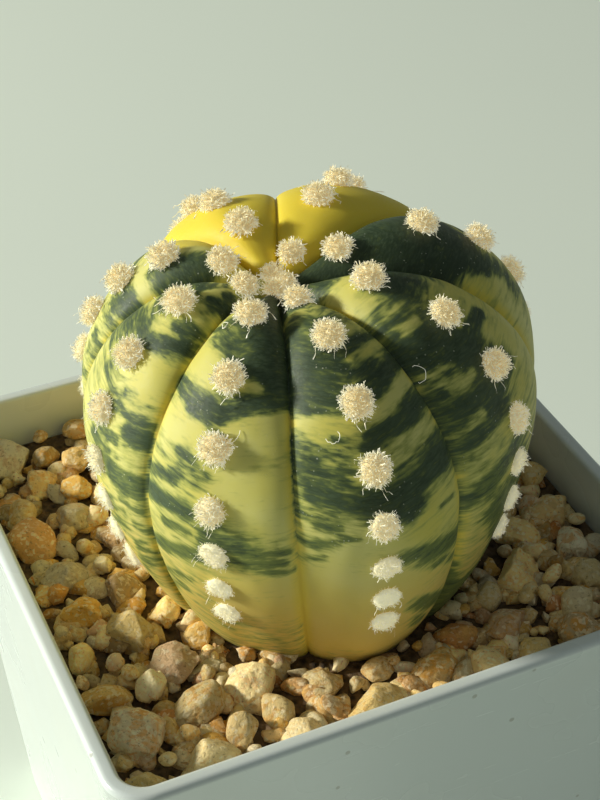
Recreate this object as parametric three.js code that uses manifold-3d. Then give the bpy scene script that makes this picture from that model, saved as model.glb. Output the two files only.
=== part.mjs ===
// A sand dollar cactus in a square pot: a low ball of eight ribs with woolly areoles along
// their crests, set in potting mix under a top dressing of small stones.
// Millimetres, +Z up. The origin is the centre of the pot's foot, on the surface it stands on.

import * as THREE from "three";
import { mergeVertices } from "three/addons/utils/BufferGeometryUtils.js";
import Module from "manifold-3d";

const wasm = await Module();
wasm.setup();

// What touches keeps this gap.
const GAP = 0.3;

// The pot: a tapered square beaker of moulded plastic.
const POT_HEIGHT = 68;
const RIM_HALF = 37.5;
const FOOT_HALF = 33.6;
const WALL = 2;
const OUTER_CORNER = 5;
const INNER_CORNER = 3;
const EDGE_ROUND = 0.7;
const RIM_EASE = 0.2;
const FOOT_RECESS = 1.5;
const FOOT_WIDTH = 3.6;
const FLOOR = 2;
const NOTCH_WIDTH = 8;
const NOTCH_HEIGHT = 1.3;
const DRAIN_RADIUS = 3;
const DRAIN_SPREAD = 17;
const DRAIN_SIDES = 16;
const CORNER_STEPS = 5;
const FLOOR_ROUND = 1;

// The fillings, measured down from the rim.
const MIX_TOP = 11.6;
const MIX_ROUND = 1.3;
const BED_BOTTOM = 11.3;
const BED_TOP = 6.9;
const STONES_AT_PLANT = 5.6;
const STONES_AT_WALL = 4.4;
const LEVEL_REACH = 12;

// The stones, laid coarse grade first: how many, their half lengths and how deep they sit.
const STONE_SEED = 41;
const STONE_GRADES = [
  { count: 46, small: 3.7, large: 5.1, depth: 2.1 },
  { count: 80, small: 2.5, large: 3.4, depth: 1.4 },
  { count: 60, small: 1.5, large: 2.1, depth: 1.1 },
];
const STONE_CROWDING = 0.73;
const STONE_TRIES = 60;
const WALL_NESTLE = 0.3;
const PLANT_NESTLE = 0.62;
const STONE_HEAVE = 0.4;

// How far a stone's corners stray from a ball, its width and height as shares of its length,
// and how far it tips, in radians.
const CORNER_STRAY = [0.84, 1.18];
const STONE_WIDTH = [0.62, 0.95];
const STONE_THICKNESS = [0.5, 0.72];
const STONE_TIP = 0.5;

// The flesh: a ball whose crest line is a fattened ellipse above its widest ring, a slow taper
// below it, and a rounded base with a short taproot under the stones.
const WIDEST_ABOVE_RIM = 16.9;
const CREST_RADIUS = 27.5;
const CREST_HEIGHT = 20.85;
const RADIUS_POWER = 0.873;
const FLANK_TAPER = 0.164;
const TAPER_DEPTH = 20;
const FLANK_END = -30.5;
const COLLAR_RADIUS = 5;
const COLLAR_DEPTH = -36;
const ROOT_RADIUS = 1.8;
const ROOT_END = -50;

// The crown's hollow, and the way the plant leans in its pot.
const HOLLOW_DEPTH = 4.8;
const HOLLOW_RADIUS = 7.9;
const CROWN_DRIFT_X = -1.4;
const CROWN_DRIFT_Y = -0.2;
const CROWN_DRIFT_REACH = 11.3;
const LEAN_X = 1.6;
const LEAN_Y = -2.96;

// The furrows between the ribs are deepest on the shoulder.
const FURROW_DEPTH = 0.9;
const SHOULDER_DEPTH = 1.3;
const SHOULDER_POWER = 1.5;
const FURROW_START = 3.5;
const FURROW_SHARPNESS = 2.4;
const FURROW_FADE_TOP = -24;

// The ribs, counterclockwise from the furrow that faces the front corner of the pot: the angle
// where each starts, how deep that furrow is cut, the angle of its crest, how much it bulges
// past the mean ball, how far from the crown its first areole sits, and how widely its areoles
// are spaced.
const FRONT_FURROW = -113.06;
const RIBS = [
  { furrow: -0.9, cleft: 1, crest: 17.7, bulge: 0.086, firstAreole: 5.5, stretch: 0.98 },
  { furrow: 40.1, cleft: 1, crest: 64.7, bulge: 0.002, firstAreole: 0.6, stretch: 1.11 },
  { furrow: 89.8, cleft: 1, crest: 114.5, bulge: 0.105, firstAreole: 6.8, stretch: 1.08 },
  { furrow: 135.1, cleft: 1, crest: 162.8, bulge: 0.11, firstAreole: 4.4, stretch: 0.9 },
  { furrow: 184.7, cleft: 0.6, crest: 210.8, bulge: 0.025, firstAreole: 1.5, stretch: 0.9 },
  { furrow: 228.7, cleft: 1, crest: 258.0, bulge: -0.047, firstAreole: 7.6, stretch: 0.93 },
  { furrow: 272.6, cleft: 1, crest: 297.8, bulge: -0.06, firstAreole: 5.0, stretch: 1.09 },
  { furrow: 317.9, cleft: 1, crest: 339.5, bulge: -0.005, firstAreole: 1.6, stretch: 1.05 },
];

// The areoles crowd together down the rib, and each carries a dome of wool, flatter on the old
// areoles low down than on the young ones near the crown.
const AREOLE_STEP = 9;
const AREOLE_CROWDING = 0.09;
const LAST_AREOLE = 54.5;
const WOOL_RADIUS = 1.7;
const CROWN_WOOL_RADIUS = 1.15;
const WOOL_GROWTH = 10;
const WOOL_FLATTENS_FROM = 24;
const WOOL_FLATTENS_TO = 46;
const OLD_FLATNESS = 0.42;
const WOOL_SIDES = 6;
const WOOL_RINGS = [
  [0.75, -0.5],
  [1.0, 0.3],
  [0.62, 0.95],
];
const WOOL_SEED = 7;
const WOOL_STRAY = [0.88, 1.14];
const WOOL_UNEVENNESS = 0.07;
const WOOL_TWIST = 0.4;

// How finely the flesh is divided: steps across a rib and along each stretch of its crest.
const RIB_STEPS = 8;
const SHOULDER_ROWS = 15;
const FLANK_ROWS = 8;
const BASE_ROWS = 3;
const ROOT_ROWS = 2;
const CLEARANCE_STEPS = 4;
const CREST_FINENESS = 200;
const NUDGE = 1e-3;

// What the fillings keep free of besides the gap: the coarser net's chords, and loose wool.
const CHORD_ROOM = 0.1;
const WOOL_ROOM = 1.2;

// Repeatable random numbers from 0 to 1.
function seeded(seed) {
  let state = seed >>> 0;
  return () => {
    state = (state + 0x6d2b79f5) >>> 0;
    let mixed = Math.imul(state ^ (state >>> 15), 1 | state);
    mixed = (mixed + Math.imul(mixed ^ (mixed >>> 7), 61 | mixed)) ^ mixed;
    return ((mixed ^ (mixed >>> 14)) >>> 0) / 4294967296;
  };
}

function mix(a, b, t) {
  return a + (b - a) * t;
}

function smooth(t) {
  const u = Math.min(Math.max(t, 0), 1);
  return u * u * (3 - 2 * u);
}

// A closed skin through a stack of rings with equal point counts, each counterclockwise seen
// from above, with a fan of triangles over the first ring and the last.
function loft(rings) {
  const count = rings[0].length;
  const points = rings.flat();
  const first = points.length;
  const last = first + 1;
  points.push(centreOf(rings[0]), centreOf(rings[rings.length - 1]));
  const faces = [];
  for (let i = 0; i < count; i++) {
    const next = (i + 1) % count;
    faces.push(first, next, i);
    for (let row = 0; row < rings.length - 1; row++) {
      const low = row * count;
      const high = low + count;
      faces.push(low + i, low + next, high + next);
      faces.push(low + i, high + next, high + i);
    }
    const top = (rings.length - 1) * count;
    faces.push(last, top + i, top + next);
  }
  const geometry = new THREE.BufferGeometry().setFromPoints(points);
  geometry.setIndex(faces);
  return geometry;
}

function centreOf(ring) {
  const centre = new THREE.Vector3();
  ring.forEach((point) => centre.add(point));
  return centre.divideScalar(ring.length);
}

// A level square ring with rounded corners.
function squareRing(half, radius, z) {
  const ring = [];
  for (let corner = 0; corner < 4; corner++) {
    const facing = Math.PI / 4 + (corner * Math.PI) / 2;
    const x = Math.sign(Math.cos(facing)) * (half - radius);
    const y = Math.sign(Math.sin(facing)) * (half - radius);
    for (let step = 0; step <= CORNER_STEPS; step++) {
      const angle = facing - Math.PI / 4 + (step / CORNER_STEPS) * (Math.PI / 2);
      ring.push(new THREE.Vector3(x + radius * Math.cos(angle), y + radius * Math.sin(angle), z));
    }
  }
  return ring;
}

function toSolid(geometry) {
  const bare = geometry.clone();
  bare.deleteAttribute("normal");
  bare.deleteAttribute("uv");
  const merged = mergeVertices(bare, 1e-5);
  return new wasm.Manifold(
    new wasm.Mesh({
      numProp: 3,
      vertProperties: Float32Array.from(merged.attributes.position.array),
      triVerts: Uint32Array.from(merged.index.array),
    }),
  );
}

// The largest body of a cut or joined solid, without scraps or sealed hollows.
function mainBody(solid) {
  const bodies = solid.decompose();
  return bodies.reduce((best, body) => (body.volume() > best.volume() ? body : best));
}

function toGeometry(solid) {
  const mesh = solid.getMesh();
  const geometry = new THREE.BufferGeometry();
  geometry.setAttribute("position", new THREE.BufferAttribute(mesh.vertProperties, 3));
  geometry.setIndex(new THREE.BufferAttribute(mesh.triVerts, 1));
  geometry.computeVertexNormals();
  return geometry;
}

function named(name, geometry, color, roughness) {
  const material = new THREE.MeshStandardMaterial({ color, roughness, metalness: 0 });
  const mesh = new THREE.Mesh(geometry, material);
  mesh.name = name;
  return mesh;
}

function outerHalf(z) {
  return mix(FOOT_HALF, RIM_HALF, z / POT_HEIGHT);
}

function innerHalf(z) {
  return outerHalf(z) - WALL;
}

// One skin from the middle of the underside, round the foot, up the outside, over the rounded
// rim and down the inside to the middle of the floor, with drain holes and foot notches cut.
function makePot() {
  const floorTop = FOOT_RECESS + FLOOR;
  const footInner = FOOT_HALF - FOOT_WIDTH;
  const rimShoulder = POT_HEIGHT - EDGE_ROUND;
  const rimInner = innerHalf(POT_HEIGHT);
  const skin = loft([
    squareRing(footInner, INNER_CORNER, FOOT_RECESS),
    squareRing(footInner, INNER_CORNER, 0),
    squareRing(FOOT_HALF - EDGE_ROUND, OUTER_CORNER - EDGE_ROUND, 0),
    squareRing(outerHalf(EDGE_ROUND), OUTER_CORNER, EDGE_ROUND),
    squareRing(outerHalf(rimShoulder), OUTER_CORNER, rimShoulder),
    squareRing(RIM_HALF - RIM_EASE, OUTER_CORNER - RIM_EASE, POT_HEIGHT - RIM_EASE),
    squareRing(RIM_HALF - EDGE_ROUND, OUTER_CORNER - EDGE_ROUND, POT_HEIGHT),
    squareRing(rimInner + 2 * RIM_EASE, INNER_CORNER + 2 * RIM_EASE, POT_HEIGHT),
    squareRing(rimInner, INNER_CORNER, POT_HEIGHT - 2 * RIM_EASE),
    squareRing(innerHalf(floorTop + FLOOR_ROUND), INNER_CORNER, floorTop + FLOOR_ROUND),
    squareRing(innerHalf(floorTop) - FLOOR_ROUND, INNER_CORNER - FLOOR_ROUND, floorTop),
  ]);
  let pot = toSolid(skin);
  const across = 4 * RIM_HALF;
  for (const turn of [0, Math.PI / 2]) {
    const notch = new THREE.BoxGeometry(NOTCH_WIDTH, across, 2 * NOTCH_HEIGHT);
    pot = pot.subtract(toSolid(notch.rotateZ(turn)));
  }
  const holes = [[0, 0]];
  for (const x of [-DRAIN_SPREAD, DRAIN_SPREAD]) {
    holes.push([x, -DRAIN_SPREAD], [x, DRAIN_SPREAD]);
  }
  for (const [x, y] of holes) {
    const drill = new THREE.CylinderGeometry(DRAIN_RADIUS, DRAIN_RADIUS, across, DRAIN_SIDES);
    drill.rotateX(Math.PI / 2).translate(x, y, 0);
    pot = pot.subtract(toSolid(drill));
  }
  return toGeometry(mainBody(pot));
}

// One row of the crest line: distance from the plant's axis, height over its widest ring, the
// outward normal, how deep the furrows are there and how much of each rib's bulge shows.
function crownPoint(turn) {
  const rho = CREST_RADIUS * Math.sin(turn) ** RADIUS_POWER;
  const hollow = HOLLOW_DEPTH * Math.exp(-((rho / HOLLOW_RADIUS) ** 2));
  return [rho, CREST_HEIGHT * Math.cos(turn) - hollow];
}

function flankPoint(z) {
  return [CREST_RADIUS * (1 - FLANK_TAPER * (z / TAPER_DEPTH) ** 2), z];
}

function basePoint(t) {
  const edge = flankPoint(FLANK_END)[0];
  const turn = (t * Math.PI) / 2;
  const rho = mix(COLLAR_RADIUS, edge, Math.cos(turn));
  return [rho, mix(FLANK_END, COLLAR_DEPTH, Math.sin(turn))];
}

function rootPoint(t) {
  return [mix(COLLAR_RADIUS, ROOT_RADIUS, t), mix(COLLAR_DEPTH, ROOT_END, t)];
}

function crestRow(at, t) {
  const [rho, z] = at(t);
  const before = at(t - NUDGE);
  const after = at(t + NUDGE);
  const way = at === flankPoint ? -1 : 1;
  const dr = (after[0] - before[0]) * way;
  const dz = (after[1] - before[1]) * way;
  const length = Math.hypot(dr, dz);
  const shoulder = at === crownPoint ? Math.max(Math.cos(t), 0) ** SHOULDER_POWER : 0;
  const fade = smooth((z - FLANK_END) / (FURROW_FADE_TOP - FLANK_END));
  const start = 1 - Math.exp(-rho / FURROW_START);
  const furrow = (FURROW_DEPTH + SHOULDER_DEPTH * shoulder) * start * fade;
  return { rho, z, nr: -dz / length, nz: dr / length, furrow, fade };
}

function crestRows() {
  const rows = [];
  for (let i = 1; i <= SHOULDER_ROWS; i++) {
    rows.push(crestRow(crownPoint, ((i / SHOULDER_ROWS) * Math.PI) / 2));
  }
  for (let i = 1; i <= FLANK_ROWS; i++) {
    rows.push(crestRow(flankPoint, (i / FLANK_ROWS) * FLANK_END));
  }
  for (let i = 1; i <= BASE_ROWS; i++) {
    rows.push(crestRow(basePoint, i / BASE_ROWS));
  }
  for (let i = 1; i <= ROOT_ROWS; i++) {
    rows.push(crestRow(rootPoint, i / ROOT_ROWS));
  }
  return rows;
}

// A point on the flesh: rib k, place t across it from furrow (-1) over the crest (0) to the next
// furrow (1), raised off the skin by lift.
function fleshPoint(row, k, t, lift) {
  const rib = RIBS[k];
  const side = t > 0 ? 1 : -1;
  const beyond = RIBS[(k + side + RIBS.length) % RIBS.length];
  const end = k + 1 < RIBS.length ? RIBS[k + 1].furrow : RIBS[0].furrow + 360;
  const reach = t > 0 ? end - rib.crest : rib.crest - rib.furrow;
  const angle = THREE.MathUtils.degToRad(FRONT_FURROW + rib.crest + reach * t);
  const across = Math.abs(t);
  const bulge = mix(rib.bulge, (rib.bulge + beyond.bulge) / 2, smooth(across));
  const cleft = t > 0 ? beyond.cleft : rib.cleft;
  const inward = lift - row.furrow * cleft * across ** FURROW_SHARPNESS;
  const r = row.rho * (1 + bulge * row.fade) + row.nr * inward;
  const z = row.z + row.nz * inward;
  const point = new THREE.Vector3(r * Math.cos(angle), r * Math.sin(angle), z);
  return intoPot(point, z > 0 ? Math.exp(-((r / CROWN_DRIFT_REACH) ** 2)) : 0);
}

// From the plant's own upright axis to its leaning place in the pot.
function intoPot(point, drift) {
  point.applyAxisAngle(new THREE.Vector3(0, 1, 0), THREE.MathUtils.degToRad(LEAN_Y));
  point.applyAxisAngle(new THREE.Vector3(1, 0, 0), THREE.MathUtils.degToRad(LEAN_X));
  point.x += CROWN_DRIFT_X * drift;
  point.y += CROWN_DRIFT_Y * drift;
  point.z += POT_HEIGHT + WIDEST_ABOVE_RIM;
  return point;
}

function fleshRing(row, steps, lift) {
  const ring = [];
  for (let k = 0; k < RIBS.length; k++) {
    for (let i = 0; i < steps; i++) {
      ring.push(fleshPoint(row, k, (2 * i) / steps - 1, lift));
    }
  }
  return ring;
}

function fleshSkin(steps, lift) {
  const rows = crestRows().reverse();
  return loft(rows.map((row) => fleshRing(row, steps, lift)));
}

// The areoles: each rib's are stepped off along its crest from the crown, closer and closer.
function areoles() {
  const line = crestLine();
  const found = [];
  RIBS.forEach((rib, k) => {
    let along = rib.firstAreole;
    while (along < LAST_AREOLE) {
      found.push({ k, along, row: line(along) });
      along += rib.stretch * (AREOLE_STEP - AREOLE_CROWDING * along);
    }
  });
  return found;
}

// The crest row at a given distance along the crest from the crown.
function crestLine() {
  const rows = [];
  for (let i = 1; i <= CREST_FINENESS; i++) {
    rows.push(crestRow(crownPoint, ((i / CREST_FINENESS) * Math.PI) / 2));
  }
  for (let i = 1; i <= CREST_FINENESS; i++) {
    rows.push(crestRow(flankPoint, (i / CREST_FINENESS) * FLANK_END));
  }
  let along = rows[0].rho;
  const lengths = rows.map((row, i) => {
    along += i ? Math.hypot(row.rho - rows[i - 1].rho, row.z - rows[i - 1].z) : 0;
    return along;
  });
  return (distance) => rows[Math.max(lengths.findIndex((length) => length >= distance), 0)];
}

function woolRadius(along) {
  return mix(CROWN_WOOL_RADIUS, WOOL_RADIUS, smooth(along / WOOL_GROWTH));
}

function woolFlatness(along) {
  const old = (along - WOOL_FLATTENS_FROM) / (WOOL_FLATTENS_TO - WOOL_FLATTENS_FROM);
  return mix(1, OLD_FLATNESS, smooth(old));
}

// A shaggy dome of wool, sunk into the areole it grows from: rings of corners, each pushed in or
// out at random, about the areole's own normal.
function woolDome({ k, along, row }, random) {
  const radius = woolRadius(along);
  const tall = radius * woolFlatness(along);
  const centre = fleshPoint(row, k, 0, 0);
  const above = fleshPoint(row, k, 0, 1).sub(centre).normalize();
  const rings = WOOL_RINGS.map(([reach, height]) => {
    return Array.from({ length: WOOL_SIDES }, (_, i) => {
      const angle = (2 * Math.PI * (i + WOOL_TWIST * random())) / WOOL_SIDES;
      const r = radius * reach * mix(...WOOL_STRAY, random());
      const z = tall * (height + mix(-WOOL_UNEVENNESS, WOOL_UNEVENNESS, random()));
      return new THREE.Vector3(r * Math.cos(angle), r * Math.sin(angle), z);
    });
  });
  const upright = new THREE.Vector3(0, 0, 1);
  const dome = loft(rings);
  dome.applyQuaternion(new THREE.Quaternion().setFromUnitVectors(upright, above));
  return dome.translate(centre.x, centre.y, centre.z);
}

function makeCactus(places) {
  const random = seeded(WOOL_SEED);
  let cactus = toSolid(fleshSkin(RIB_STEPS, 0));
  for (const place of places) {
    cactus = cactus.add(toSolid(woolDome(place, random)));
  }
  return toGeometry(mainBody(cactus));
}

// The space that the plant and its lowest tufts of wool take up in the pot, with the gap.
function plantClearance(places) {
  let space = toSolid(fleshSkin(CLEARANCE_STEPS, GAP + CHORD_ROOM));
  for (const { k, along, row } of places) {
    const radius = woolRadius(along);
    const centre = fleshPoint(row, k, 0, WOOL_RINGS[1][1] * radius);
    if (centre.z - radius < POT_HEIGHT) {
      const ball = new THREE.IcosahedronGeometry(radius * WOOL_ROOM + GAP, 1);
      space = space.add(toSolid(ball.translate(centre.x, centre.y, centre.z)));
    }
  }
  return space;
}

// The stones' places: darts thrown at the open surface, coarse grade first, kept where they
// don't crowd a stone already there or the plant.
function stonePlaces() {
  const random = seeded(STONE_SEED);
  const reach = innerHalf(POT_HEIGHT - STONES_AT_WALL) - GAP;
  const plant = crestRow(flankPoint, -(WIDEST_ABOVE_RIM + STONES_AT_PLANT));
  const footprint = fleshRing(plant, CLEARANCE_STEPS, 0);
  const middle = centreOf(footprint);
  const laid = [];
  for (const grade of STONE_GRADES) {
    const wanted = laid.length + grade.count;
    for (let i = 0; i < grade.count * STONE_TRIES && laid.length < wanted; i++) {
      const half = mix(grade.small, grade.large, random());
      const x = mix(-reach, reach, random());
      const y = mix(-reach, reach, random());
      const inset = reach - (1 - WALL_NESTLE) * half;
      const away = distanceFromPlant(x, y, footprint, middle);
      const crowds = laid.some((other) => {
        return Math.hypot(other.x - x, other.y - y) < (other.half + half) * STONE_CROWDING;
      });
      if (crowds || away < half * PLANT_NESTLE || Math.max(Math.abs(x), Math.abs(y)) > inset) {
        continue;
      }
      const level = mix(STONES_AT_PLANT, STONES_AT_WALL, smooth(away / LEVEL_REACH));
      const heave = mix(-STONE_HEAVE, STONE_HEAVE, random());
      const z = POT_HEIGHT - level - grade.depth + heave;
      laid.push({ x, y, z, half });
    }
  }
  return laid;
}

function distanceFromPlant(x, y, footprint, middle) {
  const angle = Math.atan2(y - middle.y, x - middle.x);
  const nearest = footprint.reduce((best, point) => {
    const turn = Math.atan2(point.y - middle.y, point.x - middle.x) - angle;
    const off = Math.abs(Math.atan2(Math.sin(turn), Math.cos(turn)));
    return off < best.off ? { off, point } : best;
  }, { off: Infinity, point: null }).point;
  const radius = Math.hypot(nearest.x - middle.x, nearest.y - middle.y);
  return Math.hypot(x - middle.x, y - middle.y) - radius;
}

// A stone of few faces, its corners pushed in and out at random, tipped a little where it lies.
function stone({ x, y, z, half }, random) {
  const ball = new THREE.IcosahedronGeometry(1, 0);
  ball.deleteAttribute("normal");
  ball.deleteAttribute("uv");
  const lump = mergeVertices(ball, 1e-4);
  const corners = lump.attributes.position;
  for (let i = 0; i < corners.count; i++) {
    const push = mix(...CORNER_STRAY, random());
    corners.setXYZ(i, corners.getX(i) * push, corners.getY(i) * push, corners.getZ(i) * push);
  }
  const width = half * mix(...STONE_WIDTH, random());
  lump.scale(half, width, half * mix(...STONE_THICKNESS, random()));
  lump.rotateX(mix(-STONE_TIP, STONE_TIP, random()));
  lump.rotateY(mix(-STONE_TIP, STONE_TIP, random()));
  lump.rotateZ(2 * Math.PI * random());
  return lump.translate(x, y, z);
}

// The top dressing: a bed of settled stones with the loose ones bedded into it.
function makeGravel(clearance) {
  const random = seeded(STONE_SEED + 1);
  const bottom = POT_HEIGHT - BED_BOTTOM;
  const top = POT_HEIGHT - BED_TOP;
  const fit = (z) => squareRing(innerHalf(z) - GAP, INNER_CORNER - GAP, z);
  let gravel = toSolid(loft([fit(bottom), fit(top)]));
  for (const place of stonePlaces()) {
    gravel = gravel.add(toSolid(stone(place, random)));
  }
  const inside = toSolid(loft([fit(bottom), fit(POT_HEIGHT)]));
  return toGeometry(mainBody(gravel.intersect(inside).subtract(clearance)));
}

function makeMix(clearance) {
  const bottom = FOOT_RECESS + FLOOR + GAP;
  const top = POT_HEIGHT - MIX_TOP;
  const fit = (z, inset) => squareRing(innerHalf(z) - GAP - inset, INNER_CORNER - GAP - inset, z);
  const block = loft([fit(bottom, MIX_ROUND), fit(bottom + MIX_ROUND, 0), fit(top, 0)]);
  return toGeometry(mainBody(toSolid(block).subtract(clearance)));
}

const places = areoles();
const clearance = plantClearance(places);
const pottedCactus = new THREE.Group();
pottedCactus.add(named("pot", makePot(), 0xeef1ee, 0.25));
pottedCactus.add(named("potting_mix", makeMix(clearance), 0x4a3626, 0.95));
pottedCactus.add(named("gravel", makeGravel(clearance), 0xb89a6c, 0.9));
pottedCactus.add(named("cactus", makeCactus(places), 0x9a9a45, 0.55));

export default pottedCactus;
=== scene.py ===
import math

import bpy
import numpy as np
from mathutils import Matrix, Vector


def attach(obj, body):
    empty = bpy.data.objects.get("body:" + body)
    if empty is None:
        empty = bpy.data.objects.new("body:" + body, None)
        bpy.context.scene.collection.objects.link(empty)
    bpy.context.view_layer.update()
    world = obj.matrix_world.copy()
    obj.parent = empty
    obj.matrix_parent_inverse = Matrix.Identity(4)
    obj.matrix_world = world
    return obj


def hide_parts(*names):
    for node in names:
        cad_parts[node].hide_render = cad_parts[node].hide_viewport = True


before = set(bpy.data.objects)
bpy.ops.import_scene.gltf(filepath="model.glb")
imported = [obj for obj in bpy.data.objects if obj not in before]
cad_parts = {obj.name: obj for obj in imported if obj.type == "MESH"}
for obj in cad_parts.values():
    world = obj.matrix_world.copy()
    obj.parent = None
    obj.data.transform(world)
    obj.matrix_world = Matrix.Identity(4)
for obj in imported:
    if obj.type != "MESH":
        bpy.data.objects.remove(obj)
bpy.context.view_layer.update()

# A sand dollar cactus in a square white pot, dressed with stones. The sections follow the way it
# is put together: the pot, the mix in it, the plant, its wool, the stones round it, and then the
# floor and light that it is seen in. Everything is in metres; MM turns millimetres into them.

MM = 0.001
scene = bpy.context.scene

# The camera
# It stands over the pot's near left corner and looks down on the plant, a little tilted, as
# the photograph was taken by hand. It is aimed at a point at the height of the pot's rim.
CAMERA_AZIMUTH = math.radians(-23.057)
CAMERA_ELEVATION = math.radians(37.116)
CAMERA_ROLL = math.radians(-1.401)
CAMERA_DISTANCE = 235.85 * MM
CAMERA_AIM = Vector((8.177, 18.62, 68)) * MM
CAMERA_LENS = 78.83

level = math.cos(CAMERA_ELEVATION)
back = Vector((
    math.sin(CAMERA_AZIMUTH) * level,
    -math.cos(CAMERA_AZIMUTH) * level,
    math.sin(CAMERA_ELEVATION),
))
right = Vector((0, 0, 1)).cross(back).normalized()
up = back.cross(right)
rolled_right = math.cos(CAMERA_ROLL) * right + math.sin(CAMERA_ROLL) * up
rolled_up = math.cos(CAMERA_ROLL) * up - math.sin(CAMERA_ROLL) * right
camera = bpy.data.objects.new("camera", bpy.data.cameras.new("camera"))
camera.data.lens = CAMERA_LENS
camera.data.clip_start = 10 * MM
camera.rotation_mode = "QUATERNION"
camera.rotation_quaternion = Matrix((rolled_right, rolled_up, back)).transposed().to_quaternion()
camera.location = CAMERA_AIM + back * CAMERA_DISTANCE
scene.collection.objects.link(camera)
scene.camera = camera

# The pot
# A tapered square beaker of glossy white plastic, moulded in one piece, with a rolled-over rim,
# a flat foot ring with a notch in each side, and five drain holes in its floor.
POT_HEIGHT = 68 * MM
RIM_HALF = 37.5 * MM
FOOT_HALF = 33.6 * MM
WALL = 2 * MM
OUTER_CORNER = 5 * MM
INNER_CORNER = 3 * MM
EDGE_ROUND = 0.75 * MM
EDGE_STEPS = 6
CORNER_STEPS = 14
FOOT_RECESS = 1.5 * MM
FOOT_WIDTH = 3.6 * MM
FLOOR = 2 * MM
NOTCH_WIDTH = 8 * MM
NOTCH_HEIGHT = 1.3 * MM
DRAIN_RADIUS = 3 * MM
DRAIN_SPREAD = 17 * MM
POT_WHITE = (0.72, 0.78, 0.765, 1)
POT_SCUFFED = (0.70, 0.73, 0.67, 1)
POT_SPECK = (0.35, 0.33, 0.26, 1)
EDGE_HOLD = 0.15 * MM
INNER_ROUND = 0.6 * MM
FLOOR_ROUND = 1 * MM
DRAIN_SIDES = 32
CUT_ROOM = 5 * MM
SHARPEST_SMOOTH = math.radians(40)


def mix(a, b, t):
    return a + (b - a) * t


def outer_half(z):
    return mix(FOOT_HALF, RIM_HALF, z / POT_HEIGHT)


def inner_half(z):
    return outer_half(z) - WALL


def square_ring(half, radius, z):
    """A level square ring with rounded corners, counterclockwise seen from above."""
    ring = []
    for corner in range(4):
        facing = math.pi / 4 + corner * math.pi / 2
        x = math.copysign(half - radius, math.cos(facing))
        y = math.copysign(half - radius, math.sin(facing))
        for step in range(CORNER_STEPS + 1):
            angle = facing + (step / CORNER_STEPS - 0.5) * math.pi / 2
            ring.append((x + radius * math.cos(angle), y + radius * math.sin(angle), z))
    return ring


def lofted(name, rings):
    """A closed skin through a stack of rings with equal point counts, from the lowest up."""
    count = len(rings[0])
    corners = [corner for ring in rings for corner in ring]
    faces = [tuple(reversed(range(count)))]
    for row in range(len(rings) - 1):
        low = row * count
        for i in range(count):
            following = (i + 1) % count
            faces.append((low + i, low + following, low + count + following, low + count + i))
    faces.append(tuple(range(len(corners) - count, len(corners))))
    mesh = bpy.data.meshes.new(name)
    mesh.from_pydata(corners, [], faces)
    return mesh


def placed(name, mesh, material=None):
    """An object of a finished mesh, at the origin."""
    thing = bpy.data.objects.new(name, mesh)
    scene.collection.objects.link(thing)
    if material:
        mesh.materials.clear()
        mesh.materials.append(material)
    return thing


def flattened(thing):
    """The object with its modifiers turned into a plain mesh."""
    graph = bpy.context.evaluated_depsgraph_get()
    mesh = bpy.data.meshes.new_from_object(thing.evaluated_get(graph), depsgraph=graph)
    thing.modifiers.clear()
    thing.data = mesh
    return thing


class Signal:
    """A socket of a node tree. Arithmetic on signals adds the nodes that work it out."""

    def __init__(self, plan, socket):
        self.plan = plan
        self.socket = socket

    def __add__(self, other):
        return self.plan.maths("ADD", self, other)

    def __radd__(self, other):
        return self.plan.maths("ADD", other, self)

    def __sub__(self, other):
        return self.plan.maths("SUBTRACT", self, other)

    def __rsub__(self, other):
        return self.plan.maths("SUBTRACT", other, self)

    def __mul__(self, other):
        return self.plan.maths("MULTIPLY", self, other)

    def __rmul__(self, other):
        return self.plan.maths("MULTIPLY", other, self)

    def __truediv__(self, other):
        return self.plan.maths("DIVIDE", self, other)

    def __rtruediv__(self, other):
        return self.plan.maths("DIVIDE", other, self)

    def __pow__(self, other):
        return self.plan.maths("POWER", self, other)

    def __neg__(self):
        return self.plan.maths("MULTIPLY", self, -1.0)


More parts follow.
